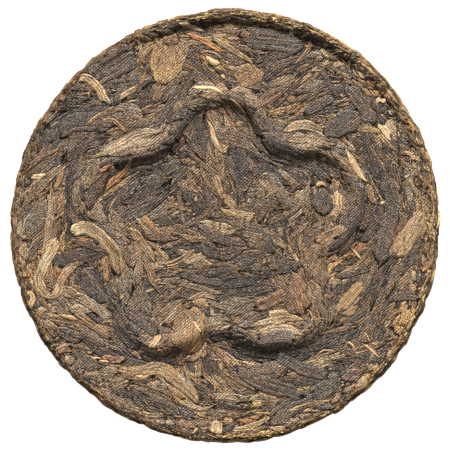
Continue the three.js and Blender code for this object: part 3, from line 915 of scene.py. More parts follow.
GOLD_BANDS = [
    ([(-73, -3.6), (-64.7, -1), (-59.4, -3.6), (-54, -8.3), (-50.5, -15), (-50, -25)], 6.4, 0.95, 0.25),
    ([(-76.9, -4.5), (-80.5, -12.8), (-85.3, -20.9), (-85.8, -26.7), (-82, -31.6), (-77.5, -30.6),
      (-76, -25.5), (-73.4, -20.9), (-68.2, -16.8), (-61.8, -15)], 4.6, 0.85, 0.5),
    ([(-53, -66), (-41.5, -67.8), (-30, -66), (-20.6, -72), (-14.8, -77.7), (-10.8, -83)], 6.4, 0.4, 0.65),
    ([(91.5, 8), (84.5, -4), (77, -15)], 7.6, 0.6, 0.55),
]
SQUARE_STRIPS = [
    ([(-69, 68.5), (-63, 67.3), (-58.5, 63), (-55.5, 58), (-53.5, 54.5)], 4.0, 0.95, 0.8),
    ([(-49.5, 58.5), (-45, 61.6), (-40.5, 64)], 2.6, 0.9, 0.6),
    ([(51, 17), (51.5, 9.3), (48, 1.3)], 3.8, 0.85, 0.6),
]
GOLD_STRIPS = [
    ([(-9, 89), (0, 83), (10, 76), (13, 72)], 3.2, 0.5, 0.35),
    ([(-40, 86), (-39, 80), (-37.5, 73)], 2.0, 0.75, 0.6),
    ([(-57, 47), (-55.5, 48.7), (-51.5, 48.4), (-48.8, 45.7), (-45.5, 42.4)], 2.0, 0.75, 0.5),
    ([(-82.6, 53), (-76.7, 57)], 3.0, 0.5, 0.5),
    ([(-65, 45.7), (-59, 50.4), (-52, 53), (-44, 53.7)], 1.9, 0.5, 0.35),
    ([(39.6, 86.8), (37, 80), (31, 73)], 1.8, 0.45, 0.4),
    ([(51.5, 12), (55, 9.3)], 1.6, 0.7, 0.7),
    ([(66, 19), (68, 9)], 2.4, 0.45, 0.35),
    ([(83.4, 22.5), (87.3, 16), (88.7, 12.6)], 2.0, 0.6, 0.5),
    ([(62.8, -48), (66, -54)], 2.0, 0.7, 0.6),
    ([(-30, -18), (-22, -16), (-13.7, -10.3)], 2.5, 0.5, 0.4),
    ([(-45.5, -1), (-40, -5.6), (-36, -12.3), (-31.6, -17)], 4.0, 0.4, 0.4),
    ([(-12.5, -39), (-9.8, -47), (-12, -55), (-18, -60)], 3.0, 0.3, 0.05),
    ([(1.9, -93.4), (9.8, -93), (15, -90.5), (21, -87)], 3.0, 0.55, 0.75),
    ([(-9.7, -52.7), (-13.7, -58.6), (-19, -62.6)], 4.6, 0.55, 0.4),
    ([(-70, -40), (-62, -45.4), (-51.5, -52)], 4.0, 0.35, 0.3),
    ([(27, -85.8), (39, -81.8), (49.6, -80)], 2.0, 0.4, 0.4),
    ([(74, -61), (79.4, -56.7)], 5.0, 0.45, 0.5),
    ([(45.6, 49), (51, 51.7)], 2.2, 0.6, 0.5),
    ([(40.3, -8.3), (48, -3.6), (56, 0)], 4.6, 0.3, 0.3),
]
GOLD_BITS = [
    (-4.8, -92.5, 80, 8, 5.5, 0.85),
    (-75, -56.7, 30, 9, 4, 0.35),
    (44.6, 30.8, 10, 4, 2, 0.5),
    (-17.4, 30, 20, 4, 2.4, 0.3),
]
gold = Leaves("gold_strips", leaf_material(
    "gold strips", [(104, 82, 60), (142, 116, 86), (170, 147, 120), (198, 179, 154)],
    (222, 204, 170), (140, 104, 68), imprint=0.6, speckle=0.9, fibre=1.1))
lay_strips(
    gold, GOLD_BANDS, draw, proud=0.1, thickness=0.42, crown=0.1, creases=2, torn=0.08, crease_depth=0.1,
    waver=0.1, streak=0.12, tips=(0.04, 0.12), blunt=0.4, slant=0.08)
lay_strips(
    gold, SQUARE_STRIPS, draw, proud=0.14, thickness=0.4, crown=0.06, creases=2, torn=0.06, crease_depth=0.1,
    waver=0.06, streak=0.12, tips=(0.02, 0.05), blunt=0.35, slant=0.2)
lay_strips(
    gold, GOLD_STRIPS, draw, proud=0.12, thickness=0.4, crown=0.1, creases=2, torn=0.06, crease_depth=0.14,
    waver=0.14, streak=0.14, tips=(0.06, 0.16), blunt=0.5, slant=0.15)
lay_patches(gold, GOLD_BITS, draw, proud=0.12, thickness=0.5, torn=0.2, creases=1, streak=0.12)


# ---- Rust-coloured leaves ----
# Leaves that fermented further than the rest and turned orange to red-brown. Most are rolled into
# short spears, and a few lie open.

RUST_STRIPS = [
    ([(-56, 14.6), (-51.5, 20.5), (-45.5, 26.5), (-43.5, 33)], 3.5, 0.95, 0.8),
    ([(-59.4, 24), (-51, 29)], 2.5, 0.6, 0.55),
    ([(-79, 15), (-76.7, 21), (-74, 29)], 2.5, 0.75, 0.6),
    ([(-94, 23), (-86, 31), (-75, 36)], 2.8, 0.5, 0.4),
    ([(-22, 30.5), (-13, 28.5)], 3.0, 0.5, 0.6),
    ([(-96, 1.3), (-93.6, 9.3)], 3.6, 0.35, 0.3),
    ([(-41, 63.6), (-38, 68.6), (-36.6, 72)], 2.8, 0.6, 0.5),
    ([(51, 55), (57, 56.3)], 2.0, 0.8, 0.8),
    ([(10.5, 52.4), (21, 59.6), (32, 65.6)], 6.2, 0.3, 0.25),
    ([(84, 47), (87, 43)], 2.8, 0.8, 0.7),
    ([(88.2, 40), (90, 36)], 2.2, 0.7, 0.6),
    ([(-45.5, -11), (-45, -19)], 3.0, 0.5, 0.5),
    ([(-74.4, -27), (-68.4, -34)], 2.0, 0.6, 0.5),
    ([(90, -22), (95.3, -14)], 3.8, 0.9, 0.8),
    ([(40.3, -50), (51, -48), (62.8, -45.4)], 2.0, 0.35, 0.4),
    ([(52, -70.6), (64, -66.6)], 5.4, 0.2, 0.2),
    ([(-39.6, -4.3), (-20.3, -6.3)], 4.6, 0.2, 0.2),
]
RUST_PATCHES = [
    (9.5, 88, 0, 4.5, 3, 0.6),
    (43, 77, 80, 4, 3, 0.5),
    (55, 78, 70, 3.5, 2.5, 0.5),
    (66.5, 65, -30, 6, 4, 0.6),
    (6.5, 45.7, 10, 5, 4, 0.55),
    (-85.4, -12, 60, 3, 2.3, 0.95),
    (-20.3, -78.2, -45, 5.5, 2.6, 0.98),
    (-52, -61.6, 0, 16, 4, 0.55),
    (33, -31.5, -70, 22, 7, 0.5),
    (21, -34, 25, 20, 6, 0.35),
    (-25, 85.5, 15, 9, 5, 0.4),
]
rust = Leaves("rust_leaves", leaf_material(
    "rust leaves", [(96, 76, 64), (122, 98, 80), (150, 116, 86), (182, 136, 90)],
    (206, 180, 146), (100, 78, 66), imprint=0.7, speckle=0.9, fibre=0.8))
lay_strips(
    rust, RUST_STRIPS, draw, proud=0.15, thickness=0.5, crown=0.12, creases=1, torn=0.1, tips=(0.35, 0.4),
    blunt=0.85, waver=0.2, streak=0.14)
lay_patches(rust, RUST_PATCHES, draw, proud=0.08, thickness=0.4, torn=0.2, creases=2, streak=0.14)


# ---- Dark leaves laid flat on the face ----
# Large whole leaves, folded and pressed flat, slate to purple-grey. The cloth's threads show best
# on them. Narrow dark strips laid along the raised outline's shaded side and in its creases are painted
# shade.

DARK_AND_SHADE_STRIPS = [
    ([(35, 51.7), (49.6, 59.6)], 5.6, 0.4, 0.4),
    ([(71.5, 26), (75.5, 14), (75.5, 2), (71, -12), (69.5, -20)], 7.5, 0.25, 0.35),
    ([(-78, 41), (-72, 47), (-60, 48), (-50, 46)], 9.0, 0.2, 0.35),
    ([(4, -63), (14, -71), (29, -76), (38, -78)], 7.0, 0.3, 0.3),
    ([(22, -59), (36, -66), (48, -69)], 6.0, 0.25, 0.4),
    ([(55, 66), (63, 55), (68, 45)], 7.0, 0.3, 0.4),
    ([(-82.6, 45), (-80, 38)], 4.0, 0.3, 0.3),
    ([(-22, -22), (-9, -25.5), (0.2, -26)], 4.0, 0.35, 0.35),
    ([(4.5, -46), (19.7, -38.8)], 5.0, 0.4, 0.4),
    ([(17.8, -92.4), (31, -82.5), (44.3, -76), (53, -67.3)], 8.0, 0.4, 0.4),
    ([(49.6, -24), (66.8, -19.5)], 3.0, 0.35, 0.35),
    ([(72.8, -33.5), (89.3, -32)], 4.0, 0.3, 0.3),
    # From here on: dark strips laid along the raised outline's shaded side and in its creases, as painted
    # shade.
    ([(-23, 38), (-20.5, 45), (-14, 52.5)], 3.2, -0.2, -0.1),
    ([(8, 54), (13, 48), (15.5, 40)], 3.2, -0.2, -0.1),
    ([(61.5, 18), (63, 10), (60, 2), (54, -6), (46, -12)], 3.4, -0.1, 0.0),
    ([(-66, 20), (-66.5, 11)], 2.4, 0.0, 0.0),
    ([(-61, -5), (-52, -10)], 4.2, -0.1, 0.1),
    ([(-52, -40), (-48, -49), (-40, -57.5)], 5.0, -0.15, -0.15),
    ([(-40, -59), (-30, -62), (-22, -62)], 4.0, -0.1, -0.1),
    ([(15, 40), (24, 35.5), (34, 31), (43, 25.5), (50, 19)], 6.5, 0.2, -0.05),
    ([(-52, 27.5), (-41, 30), (-31, 32.5), (-24, 37)], 5.5, -0.05, -0.15),
    ([(3, -54.5), (13, -58), (25, -59), (36, -56)], 5.0, -0.1, 0.0),
    ([(-8, -51.5), (2, -50)], 5.0, -0.1, -0.1),
    ([(-13, -8), (-2, -13), (9, -10)], 6.0, 0.1, 0.15),
    ([(-68, -24), (-60, -31), (-54, -36)], 6.0, 0.15, 0.2),
    ([(-47, -38), (-38, -44), (-30, -49)], 6.0, 0.05, 0.1),
]
DARK_LEAVES = [
    (53, 47, 22, 20, 11.5, 0.35),
    (44.3, 11.3, 80, 14, 8.5, 0.3),
    (21, 85.5, -5, 33, 10, 0.45),
    (-53, 74, 28, 28, 13, 0.45),
    (22.4, -52, 5, 20, 8, 0.5),
    (-72, -50, -20, 14, 6, 0.4),
]
DARK_COLOURS = [(54, 44, 36), (80, 68, 58), (104, 91, 78), (132, 117, 101)], (190, 178, 160), (124, 92, 66)
dark = Leaves("dark_leaves", leaf_material("dark leaves", *DARK_COLOURS, fibre=0.35))
# Two of them stand proud of the rest and cover what lies round them, so they go in first.
lay_patches(
    dark, DARK_LEAVES[:2], draw, proud=0.3, thickness=0.7, tips=(0.35, 0.35), blunt=0.5, creases=1, torn=0.03)
lay_strips(dark, DARK_AND_SHADE_STRIPS, draw, proud=0.12, thickness=0.5, creases=2)


# ---- Olive and brown leaves laid flat on the face ----
# Broad pieces of open leaf, golden brown to olive, thinner than the rolled ones. The largest were
# spread out whole when the cake was pressed.

GOLDEN_LEAF = [([(-24, 88), (-26, 79), (-30, 64.5)], 16, 0.45, 0.85)]
OPEN_LEAVES = [
    (-18, -48, 78, 24, 14, 0.55),
    (10.5, 69.6, 20, 15, 10, 0.5),
    (21, -66.5, 5, 20, 8, 0.12),
    (30, -34, -60, 24, 9, 0.2),
]
OLIVE_LEAVES = [
    (29.7, 58.3, 0, 6, 3.2, 0.7),
    (-12, -57, -60, 10, 5, 0.7),
    (21, -66, 10, 18, 7, 0.45),
    (83, -41, 62, 14, 5, 0.8),
    (79.5, -45, 60, 12, 5, 0.65),
    (67.5, -65.3, 40, 6, 5, 0.6),
    (42, -44, 10, 5, 4, 0.6),
    (14, -82, 0, 7, 4, 0.8),
    (-57.8, -20, 80, 3.5, 2.5, 0.8),
    (-92.6, -22.5, 70, 5, 5, 0.6),
    (15.8, 14.6, 20, 8, 4, 0.4),
]
opened = Leaves("open_leaves", leaf_material(
    "open leaves", [(80, 63, 48), (116, 94, 70), (148, 124, 94), (182, 158, 120)],
    (214, 192, 152), (112, 88, 62), fibre=0.2, mottle=1.5, blotches=0.5))
OLIVE_COLOURS = [(78, 60, 42), (114, 92, 66), (148, 122, 88), (182, 156, 118)], (206, 188, 152), (104, 86, 70)
olive = Leaves("olive_leaves", leaf_material("olive leaves", *OLIVE_COLOURS, fibre=0.6))
lay_strips(
    opened, GOLDEN_LEAF, draw, proud=0.05, thickness=0.3, tips=(0.05, 0.4), blunt=0.5, creases=2, torn=0.03,
    waver=0.04, crease_depth=0.06, crown=0.04, streak=0.08, slant=0.15)
lay_patches(
    opened, OPEN_LEAVES, draw, proud=0.04, thickness=0.3, tips=(0.2, 0.2), blunt=0.4, creases=2, torn=0.03,
    waver=0.05, crease_depth=0.06, crown=0.05, streak=0.05, slant=0.3)
lay_patches(
    olive, OLIVE_LEAVES, draw, proud=0.05, thickness=0.3, tips=(0.08, 0.12), blunt=0.4, creases=3, torn=0.22,
    waver=0.15, crease_depth=0.1, crown=0.04, streak=0.1, slant=0.25)
lay_patches(dark, DARK_LEAVES[2:], draw, proud=0.05, thickness=0.4, creases=4, torn=0.1)


# ---- Taupe strips laid on the face ----
# Rolled leaves that dried greyish brown, pressed in side by side. The lightest lie along the
# raised outline's lit side, where their pale tone is partly painted light.

TAUPE_STRIPS = [
    # Strips on the outline's lit side take pale tones, partly as painted light.
    ([(-68, 32), (-59, 33), (-47, 38.4), (-39, 42.4), (-25.6, 43.7)], 5.2, 0.7, 0.75),
    ([(-50, 35.4), (-40, 38), (-30, 39.5)], 3.6, 0.5, 0.6),
    ([(24, 42), (35, 46.4), (46, 43), (52, 38)], 5.0, 0.85, 0.8),
    ([(24, 39.5), (38, 40), (49.6, 35)], 4.6, 0.6, 0.45),
    ([(-19, -34.8), (-10.4, -31.5), (-2.5, -34.8)], 3.0, 0.75, 0.7),
    ([(-23.7, -26.8), (-15.7, -27.5), (-7.8, -30), (0.2, -31.5)], 3.0, 0.6, 0.6),
    ([(-25.6, -78), (-19, -82.5), (-11, -84.5), (-3, -81)], 2.0, 0.6, 0.6),
    ([(8, -47), (16.4, -43.4), (27.7, -41.5), (37, -44)], 6.4, 0.95, 0.85),
    ([(12, -50.5), (25, -47), (38, -50)], 5.0, 0.7, 0.7),
    ([(-30, -45), (-24, -41), (-20, -34)], 4.4, 0.7, 0.6),
    ([(0, -64), (6.5, -70.6), (15, -76.5)], 3.0, 0.4, 0.4),
    ([(-96, -4.6), (-90.6, -6.3)], 1.8, 0.5, 0.5),
    ([(-74, -59), (-70, -64)], 4.0, 0.6, 0.6),
]
taupe = Leaves("taupe_leaves", leaf_material(
    "taupe leaves", [(72, 59, 46), (106, 89, 71), (140, 121, 100), (176, 156, 131)],
    (206, 192, 168), (128, 96, 64), fibre=0.6))
lay_strips(
    taupe, TAUPE_STRIPS, draw, proud=0.12, thickness=0.4, crown=0.12, creases=2, streak=0.12, torn=0.1,
    tips=(0.3, 0.3), blunt=0.7)


# ---- Crumbs, flakes and slivers ----
# Fragments of every kind that were sifted in with the leaf, from a millimetre or two to short
# splinters, and pressed level with it.

# A bigger leaf turns the smaller ones round it to its own heading, up to about 11 mm away.
FLOW_REACH_SQUARED = 130
# From this radius on, leaves start to lie along the rim.
RIM_PULL_FROM = 74
RIM_PULL_OVER = 16


def lie(x, y, draw):
    """The heading of a leaf at this place: along its bigger neighbours, the outline or the rim."""
    cosine = sine = 0.0
    for spot_x, spot_y, spot_cosine, spot_sine in flow:
        weight = math.exp(-((x - spot_x) ** 2 + (y - spot_y) ** 2) / FLOW_REACH_SQUARED)
        cosine += weight * spot_cosine
        sine += weight * spot_sine
    at = int(outline_index(np.array(x), np.array(y)))
    near_ridge = max(0.0, 1.3 - float(ridge_share(np.array(x), np.array(y))[0]))
    near_rim = float(np.clip((math.hypot(x, y) - RIM_PULL_FROM) / RIM_PULL_OVER, 0, 1))
    round_way = math.atan2(y, x) + math.pi / 2
    for weight, heading in ((near_ridge, crest_heading[at]), (near_rim, round_way)):
        cosine += weight * math.cos(2 * heading)
        sine += weight * math.sin(2 * heading)
    surety = min(1.0, math.hypot(cosine, sine))
    return 0.5 * math.atan2(sine, cosine) + draw.normal(0, 0.25 + 0.8 * (1 - surety))


def anywhere_on_face(draw):
    angle, out = draw.uniform(0, 2 * math.pi), (CAKE_RADIUS - 4) * math.sqrt(draw.uniform(0, 1))
    return out * math.cos(angle), out * math.sin(angle)


CRUMBS = [
    (pale, (0.0, 0.4)), (gold, (0.0, 0.6)), (olive, (0.2, 0.9)), (olive, (0.2, 0.9)), (rust, (0.1, 0.8)),
    (taupe, (0.4, 1.0)), (taupe, (0.4, 1.0)),
]
for _ in range(420):
    leaves, tones = CRUMBS[draw.integers(len(CRUMBS))]
    x, y = anywhere_on_face(draw)
    length = draw.uniform(1.5, 5.0)
    lay_leaf(
        leaves, face, arc_points(x, y, draw.uniform(0, math.pi), length, draw.normal(0, 0.4)),
        length * draw.uniform(0.16, 0.4), draw, draw.uniform(*tones), proud=draw.uniform(-0.02, 0.05),
        thickness=0.2, crown=0.04, tips=(0.1, 0.25), torn=0.2, step=length / 4, slant=0.5)
# Broken flakes gather where the face turns up into the rim, most of them at the right.
FLAKES = [
    (gold, (0.0, 0.8)), (olive, (0.3, 1.0)), (olive, (0.3, 1.0)), (taupe, (0.4, 1.0)), (rust, (0.2, 0.8)),
    (dark, (-0.2, 0.4)),
]
# How many, from and to in degrees, nearest to and furthest from the side, and added to their tone.
FLAKE_ARCS = [(220, -110, 85, 3.4, 10, 0), (50, 85, 250, 3.2, 6, -0.4)]
for count, low_turn, high_turn, nearest, furthest, tone_shift in FLAKE_ARCS:
    for _ in range(count):
        leaves, tones = FLAKES[draw.integers(len(FLAKES))]
        turn = math.radians(draw.uniform(low_turn, high_turn))
        out = CAKE_RADIUS - draw.uniform(nearest, furthest)
        length = draw.uniform(3, 13)
        lay_leaf(
            leaves, face, arc_points(
                out * math.cos(turn), out * math.sin(turn), turn + math.pi / 2 + draw.normal(0, 0.35), length,
                draw.normal(0, 0.4)),
            length * draw.uniform(0.14, 0.34), draw, draw.uniform(*tones) + tone_shift,
            proud=draw.uniform(-0.05, 0.2), thickness=0.3, crown=0.05, tips=(0.1, 0.25), torn=0.2, step=1.4,
            slant=0.4)
SLIVERS = [
    (gold, (0.0, 0.5)), (taupe, (0.6, 1.0)), (taupe, (0.6, 1.0)), (olive, (0.2, 0.7)), (olive, (0.2, 0.7)),
    (rust, (0.1, 0.7)), (rust, (0.1, 0.7)), (dark, (-0.3, 0.1)), (dark, (-0.3, 0.1)),
]
for _ in range(480):
    leaves, tones = SLIVERS[draw.integers(len(SLIVERS))]
    x, y = anywhere_on_face(draw)
    length = draw.uniform(3, 10)
    lay_leaf(
        leaves, face, arc_points(x, y, lie(x, y, draw), length, draw.normal(0, 0.5)),
        draw.uniform(0.35, 0.9), draw, draw.uniform(*tones), proud=draw.uniform(-0.02, 0.06), thickness=0.18,
        crown=0.03, tips=(0.3, 0.4), blunt=0.8, torn=0.1, step=length / 6)


# ---- Leaves along the raised outline ----
# Broad leaves that the mould's groove took in whole and bent over the ridge, so it runs smooth
# all the way round.


# How they bend is taken from the outline this many of its places further on, or 6 degrees.
RIDGE_LOOK_AHEAD = 60


def lay_ridge_leaves(draw, spacing, offsets, widths, lengths):
    """Leaves all round the outline, with dark kinds chosen more on the ridge's shaded side as painted shade,
    and paler ones on its lit side as painted light.
    """
    degree = 0.0
    while degree < 360:
        at = int(degree * STEPS_PER_DEGREE) % CREST_STEPS
        along = crest_heading[at]
        beyond = draw.uniform(*offsets)
        x = crest_table[at] * math.cos(math.radians(degree)) + beyond * math.sin(along)
        y = crest_table[at] * math.sin(math.radians(degree)) - beyond * math.cos(along)
        ahead = int(degree * STEPS_PER_DEGREE + RIDGE_LOOK_AHEAD) % CREST_STEPS
        bend = (crest_heading[ahead] - along + math.pi) % (2 * math.pi) - math.pi
        length, width = draw.uniform(*lengths), draw.uniform(*widths)
        # Painted shade and light: the dark kind is chosen more often on the ridge's shaded side and the paler
        # kinds on its lit side.
        lit = beyond * math.sin(math.radians(degree)) > 0
        leaves, tones = ((dark, (0.2, 0.8)), (taupe, (0.2, 0.75)), (olive, (0.1, 0.5)))[
            draw.choice(3, p=(0.25, 0.55, 0.2) if lit else (0.6, 0.25, 0.15))]
        lay_leaf(
            leaves, face,
            arc_points(x, y, along + draw.normal(0, 0.22), length, np.clip(bend * 2, -0.9, 0.9)), width, draw,
            draw.uniform(*tones), draw.uniform(*tones), proud=draw.uniform(-0.05, 0.03), thickness=0.3,
            tips=(0.3, 0.35), blunt=0.6, creases=int(draw.integers(1, 4)), crown=0.05, torn=0.15, step=1.2,
            crease_depth=0.15)
        degree += spacing * draw.uniform(0.7, 1.3) / (slant_table[at] * crest_table[at]) * 180 / math.pi


draw = np.random.default_rng(29)
lay_ridge_leaves(draw, 8.0, (-2.5, 2.5), (5.0, 8.0), (16, 28))
lay_ridge_leaves(draw, 9.0, (-6.0, 7.0), (5.0, 9.0), (16, 26))


# ---- The leaves between ----
# Everything else that was packed into the mould: rolled and broken leaves of each kind, the
# small ones on top of the broad ones, lying along their neighbours until no gap is left.

# Where leaves of warm or cold colours gather: x, y, reach.
WARM_SPOTS = [
    (-28, 76, 12), (-8, 80, 9), (13, 68, 9), (70, 65, 9), (28, 55, 8), (-78, -16, 12), (-70, -42, 7),
    (-13, -54, 9), (-32, -66, 10), (12, -90, 9), (50, 9, 7), (-50, 22, 9), (44, -14, 12), (33, -36, 11),
    (82, -46, 10), (86, 0, 9), (-90, -20, 9), (60, -10, 9),
]
COLD_SPOTS = [
    (-72, 50, 11), (-27, 30, 13), (55, 52, 9), (52, 74, 11), (77, 15, 9), (-60, -33, 10), (25, 30, 10),
    (8, 10, 8), (25, -55, 9), (47, -72, 13), (-25, -97, 9), (30, -90, 9), (-70, 74, 9),
    (30, 84, 12), (-50, 66, 9),
]


def warmth(x, y):
    """From -0.6, where the leaves are slate, to 1, where they are brown and gold."""
    value = np.zeros(np.shape(x))
    for spots, sign in ((WARM_SPOTS, 1), (COLD_SPOTS, -1)):
        for spot_x, spot_y, reach in spots:
            value = value + sign * np.exp(-((x - spot_x) ** 2 + (y - spot_y) ** 2) / (reach * reach))
    return np.clip(value, -0.6, 1)


# Each kind: its leaves, how common it is, length (middle, spread), width, creases, tones, and how
# it leans towards warm places.
FILL_KINDS = [
    (dark, 0.3, (34, 0.3), (3.0, 8.5), (2, 6), (-0.15, 0.85), -1.2),
    (taupe, 0.34, (30, 0.35), (1.6, 5.5), (1, 4), (-0.05, 0.95), 0.0),
    (olive, 0.19, (24, 0.35), (1.6, 5.5), (1, 3), (0.0, 0.8), 1.1),
    (rust, 0.08, (17, 0.35), (1.4, 3.6), (0, 2), (0.0, 0.7), 0.9),
    (gold, 0.06, (18, 0.4), (0.8, 1.8), (0, 1), (0.1, 0.7), 0.8),
    (pale, 0.03, (9, 0.25), (0.7, 1.2), (0, 0), (0.0, 0.4), 0.5),
]


def fill_with(pile, kinds, draw, until, most, thicknesses, heading_at=lie, warmth_at=warmth, **how):
    """Packs leaves of all kinds into the open places of a pile, until only this share is open."""
    for laid in range(most):
        if laid % 12 == 0:
            places, open_share = pile.open_places()
            if open_share < until:
                break
        x, y = places[draw.integers(len(places))]
        warm = float(warmth_at(x, y))
        weights = np.array([share * math.exp(leaning * warm) for _, share, _, _, _, _, leaning in kinds])
        chosen = kinds[draw.choice(len(kinds), p=weights / weights.sum())]
        leaves, _, (middle, spread), widths, creases, tones, _ = chosen
        length = middle * math.exp(float(np.clip(draw.normal(0, spread), -0.9, 0.8)))
        width = min(draw.uniform(*widths), 0.5 * length)
        points = arc_points(x, y, heading_at(x, y, draw), length, draw.normal(0, 0.5))
        tone = float(np.clip(draw.uniform(*tones) + 0.12 * warm, -0.2, 1))
        lay_leaf(
            leaves, pile, points, width, draw, tone, float(np.clip(tone + draw.normal(0, 0.2), -0.2, 1)),
            proud=0.2 * (open_share - 0.5) + draw.normal(0, 0.04), tips=tuple(draw.uniform(0.04, 0.4, 2)),
            blunt=draw.uniform(0.5, 1.2), creases=int(draw.integers(creases[0], creases[1] + 1)),
            lean=draw.normal(0, 0.05), torn=draw.uniform(0.02, 0.2), waver=draw.uniform(0.05, 0.2),
            least=0.1, streak=0.1, thickness=draw.uniform(*thicknesses), **how)


draw = np.random.default_rng(31)
fill_with(face, FILL_KINDS, draw, 0.008, 2400, (0.1, 0.26), crown=0.05, step=1.7, crease_depth=0.11)

for leaves in (pale, gold):
    finish_leaves(leaves)
for leaves in (rust, dark, olive, taupe, opened):
    finish_leaves(leaves, warmth)


# ---- Leaves of the edge ----
# Broken leaves folded against the mould's wall. They run round the cake in ragged courses, and
# their ends stand up in the rim.


ROUND = 2 * math.pi * CAKE_RADIUS
edge = Pile(
    (0, ROUND), (0, EDGE_LENGTH), True, on_edge, lambda a, b: (b > 0.6) & (b < EDGE_LENGTH - 0.6))


def run_round(a, b, draw):
    return draw.normal(0, 0.28)


def even_warmth(a, b):
    return 0.0


def rim_breadth(angle):
    """From 0 at the left, where the rim is a thin line, to 1 at the right."""
    return float(np.clip(0.9 + 1.4 * math.cos(angle - math.radians(5)), 0, 1))


def fill_edge(kinds, draw, count, low_run, high_run, prouds, lengths, widths, spread=0.35, **how):
    """Strips laid over the edge, some standing well out of it."""
    for _ in range(count):
        leaves, tones = kinds[draw.integers(len(kinds))]
        a = draw.uniform(0, ROUND)
        breadth = rim_breadth(-a / CAKE_RADIUS)
        b = draw.uniform(min(low_run + 2.6 * (1 - breadth), high_run - 1), high_run)
        length, width = draw.uniform(*lengths), draw.uniform(*widths)
        tone = draw.uniform(*tones) + 0.55 * (breadth - 0.65)
        lay_leaf(
            leaves, edge, arc_points(a, b, draw.normal(0, spread), length, draw.normal(0, 0.3)), width, draw,
            tone, tone + draw.normal(0, 0.15), proud=draw.uniform(*prouds),
            tips=tuple(draw.uniform(0.1, 0.4, 2)), blunt=0.6, lean=draw.normal(0, 0.15),
            torn=draw.uniform(0.05, 0.25), least=0.2, **how)


EDGE_FINISH = {"imprint": 0.0, "relief": 0.4, "fibre": 1.1, "speckle": 0.6}
edge_brown = Leaves("edge_brown_leaves", leaf_material(
    "edge brown leaves", [(84, 65, 46), (120, 95, 67), (150, 123, 88), (180, 153, 114)],
    (206, 184, 146), (120, 78, 48), **EDGE_FINISH))
edge_dark = Leaves("edge_dark_leaves", leaf_material(
    "edge dark leaves", [(66, 53, 43), (92, 77, 64), (114, 98, 82), (136, 118, 98)],
    (186, 168, 140), (104, 76, 52), **EDGE_FINISH))
edge_gold = Leaves("edge_gold_strips", leaf_material(
    "edge gold strips", [(104, 82, 52), (148, 122, 82), (188, 160, 114), (220, 198, 154)],
    (226, 208, 168), (140, 90, 46), **EDGE_FINISH))
draw = np.random.default_rng(23)
# Flakes that stand out along the rim: leaves, degrees from and to, run, width, tone.
RIM_FLAKES = [
    (edge_gold, 101, 91, 2.6, 2.6, 0.7), (edge_gold, 90, 84, 2.2, 2.0, 0.5),
    (edge_gold, 68, 61, 2.4, 2.6, 0.8), (edge_gold, 58, 53, 2.0, 2.2, 0.6),
    (edge_gold, 49, 44, 3.0, 3.0, 0.9), (edge_brown, 40, 34, 2.4, 3.0, 1.0),
    (edge_gold, 31, 26, 3.0, 2.6, 0.8), (edge_brown, 23, 17, 2.6, 3.0, 0.8),
    (edge_gold, 12, 8, 3.2, 2.4, 0.6), (edge_gold, -25, -31, 3.4, 3.4, 0.8),
    (edge_gold, -34, -39, 3.0, 3.0, 0.6), (edge_brown, -45, -55, 3.2, 3.4, 0.9),
    (edge_gold, -62, -70, 3.0, 2.6, 0.5), (edge_gold, 152, 149, 2.6, 4.0, 0.6),
    (edge_gold, 160, 156, 2.2, 2.2, 0.4), (edge_gold, 214, 209, 2.6, 2.6, 0.6),
    (edge_brown, 236, 226, 2.4, 2.6, 0.8),
]
for leaves, start, end, run, width, tone in RIM_FLAKES:
    line = [(math.radians(-turn) % (2 * math.pi) * CAKE_RADIUS, run) for turn in (start, end)]
    lay_leaf(
        leaves, edge, line, width, draw, tone, tone - 0.2, proud=0.4, thickness=0.6, step=1.2, crown=0.15,
        creases=1, torn=0.2, slant=0.4)
RIM_KINDS = [
    (edge_brown, (0.4, 1.0)), (edge_dark, (0.3, 1.0)), (edge_gold, (0.2, 1.0)), (edge_gold, (0.2, 1.0))]
SIDE_KINDS = [
    (edge_brown, (0.2, 0.9)), (edge_dark, (0.2, 0.9)), (edge_brown, (0.3, 1.0)), (edge_gold, (0.1, 0.9))]
fill_edge(
    RIM_KINDS, draw, 420, 0.4, 6, (0.0, 0.6), (1.5, 4), (0.7, 1.7), spread=1.2, thickness=0.5, step=1.0,
    crown=0.15)
fill_edge(
    RIM_KINDS, draw, 380, 0.6, 5.5, (-0.3, 0.5), (3, 11), (0.8, 2.4), spread=0.5, thickness=0.6, step=1.3,
    crown=0.15)
fill_edge(SIDE_KINDS, draw, 380, 5, 30, (-0.1, 0.6), (5, 22), (1.2, 3.6), thickness=0.7, step=1.6, crown=0.2)
EDGE_KINDS = [
    (edge_brown, 0.5, (13, 0.4), (2.0, 5.0), (0, 2), (0.0, 0.8), 0),
    (edge_dark, 0.35, (15, 0.4), (2.5, 6.0), (1, 3), (0.0, 0.8), 0),
    (edge_gold, 0.1, (9, 0.4), (1.2, 3.0), (0, 1), (0.1, 0.7), 0),
]
fill_with(
    edge, EDGE_KINDS, draw, 0.018, 1400, (0.35, 0.6), heading_at=run_round, warmth_at=even_warmth, crown=0.15,
    step=2.2)
for leaves in (edge_brown, edge_dark, edge_gold):
    finish_leaves(leaves)


# ---- Leaves of the underside ----
# Rolled leaves of all sizes that lay uppermost in the mould. Its lid pressed them flat, so they
# lie closer than those on the face.

underside = Pile(ACROSS, ACROSS, False, on_underside, lambda a, b: np.hypot(a, b) < CAKE_RADIUS - 6.5)


def lie_anyhow(a, b, draw):
    """Slowly changing headings, and along the side near it."""
    if math.hypot(a, b) > 80:
        return math.atan2(b, a) + math.pi / 2 + draw.normal(0, 0.5)
    return math.sin(a / 23 + 1) + 1.4 * math.cos(b / 27) + draw.normal(0, 0.6)


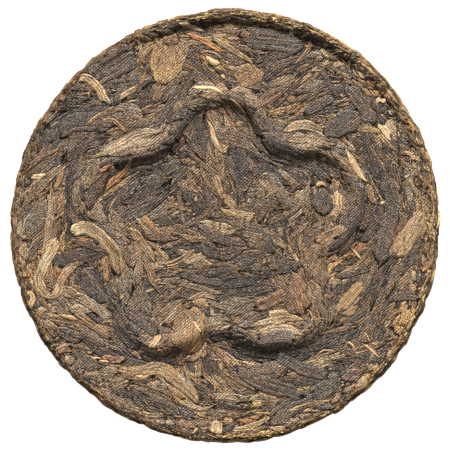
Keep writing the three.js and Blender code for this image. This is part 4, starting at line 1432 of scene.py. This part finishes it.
under_dark = Leaves("underside_dark_leaves", leaf_material("underside dark leaf", *DARK_COLOURS))
under_brown = Leaves("underside_brown_leaves", leaf_material("underside brown leaf", *OLIVE_COLOURS))
draw = np.random.default_rng(53)
UNDER_KINDS = [
    (under_dark, 0.45, (19, 0.35), (4.0, 10.0), (2, 4), (0.1, 0.8), 0),
    (under_brown, 0.4, (15, 0.35), (2.5, 7.0), (0, 3), (0.1, 0.9), 0),
    (under_brown, 0.15, (11, 0.35), (1.4, 2.6), (0, 0), (0.6, 1.0), 0),
]
fill_with(
    underside, UNDER_KINDS, draw, 0.014, 2000, (0.16, 0.3), heading_at=lie_anyhow, warmth_at=even_warmth,
    crown=0.05, step=2.5)
for leaves in (under_dark, under_brown):
    finish_leaves(leaves)


# ---- The floor, the light and the camera ----
# A white floor that glows a little, faint light from all round, and one broad lamp that comes in
# low over the cake's +Y side and brings out its relief.

bpy.ops.mesh.primitive_plane_add(size=6, location=(0, 0, 0))
floor = bpy.context.object
floor.name = "floor"
floor_material = bpy.data.materials.new("white floor")
floor_material.use_nodes = True
floor_shader = floor_material.node_tree.nodes["Principled BSDF"]
floor_shader.inputs["Base Color"].default_value = (0.9, 0.9, 0.9, 1)
floor_shader.inputs["Roughness"].default_value = 0.9
floor_shader.inputs["Emission Color"].default_value = (1, 1, 1, 1)
floor_shader.inputs["Emission Strength"].default_value = 0.97
floor.data.materials.append(floor_material)

world = bpy.data.worlds.new("studio")
world.use_nodes = True
world.node_tree.nodes["Background"].inputs["Color"].default_value = (1, 1, 1, 1)
world.node_tree.nodes["Background"].inputs["Strength"].default_value = 0.2
bpy.context.scene.world = world

# Degrees: above the floor, and round from +X towards +Y.
LAMP_ELEVATION = 34
LAMP_AZIMUTH = 88
lamp = bpy.data.lights.new("key_lamp", "SUN")
lamp.energy = 6.9
lamp.angle = math.radians(18)
lamp_holder = bpy.data.objects.new("key_lamp", lamp)
lamp_holder.rotation_euler = (0, math.radians(90 - LAMP_ELEVATION), math.radians(LAMP_AZIMUTH))
bpy.context.collection.objects.link(lamp_holder)

camera = bpy.data.cameras.new("camera")
camera.lens = 300
camera.sensor_width = 36
camera.clip_start = 0.05
viewpoint = bpy.data.objects.new("camera", camera)
bpy.context.collection.objects.link(viewpoint)
viewpoint.location = (-0.0005, -0.0041, 1.819)
bpy.context.scene.camera = viewpoint
bpy.context.scene.view_settings.view_transform = "Standard"
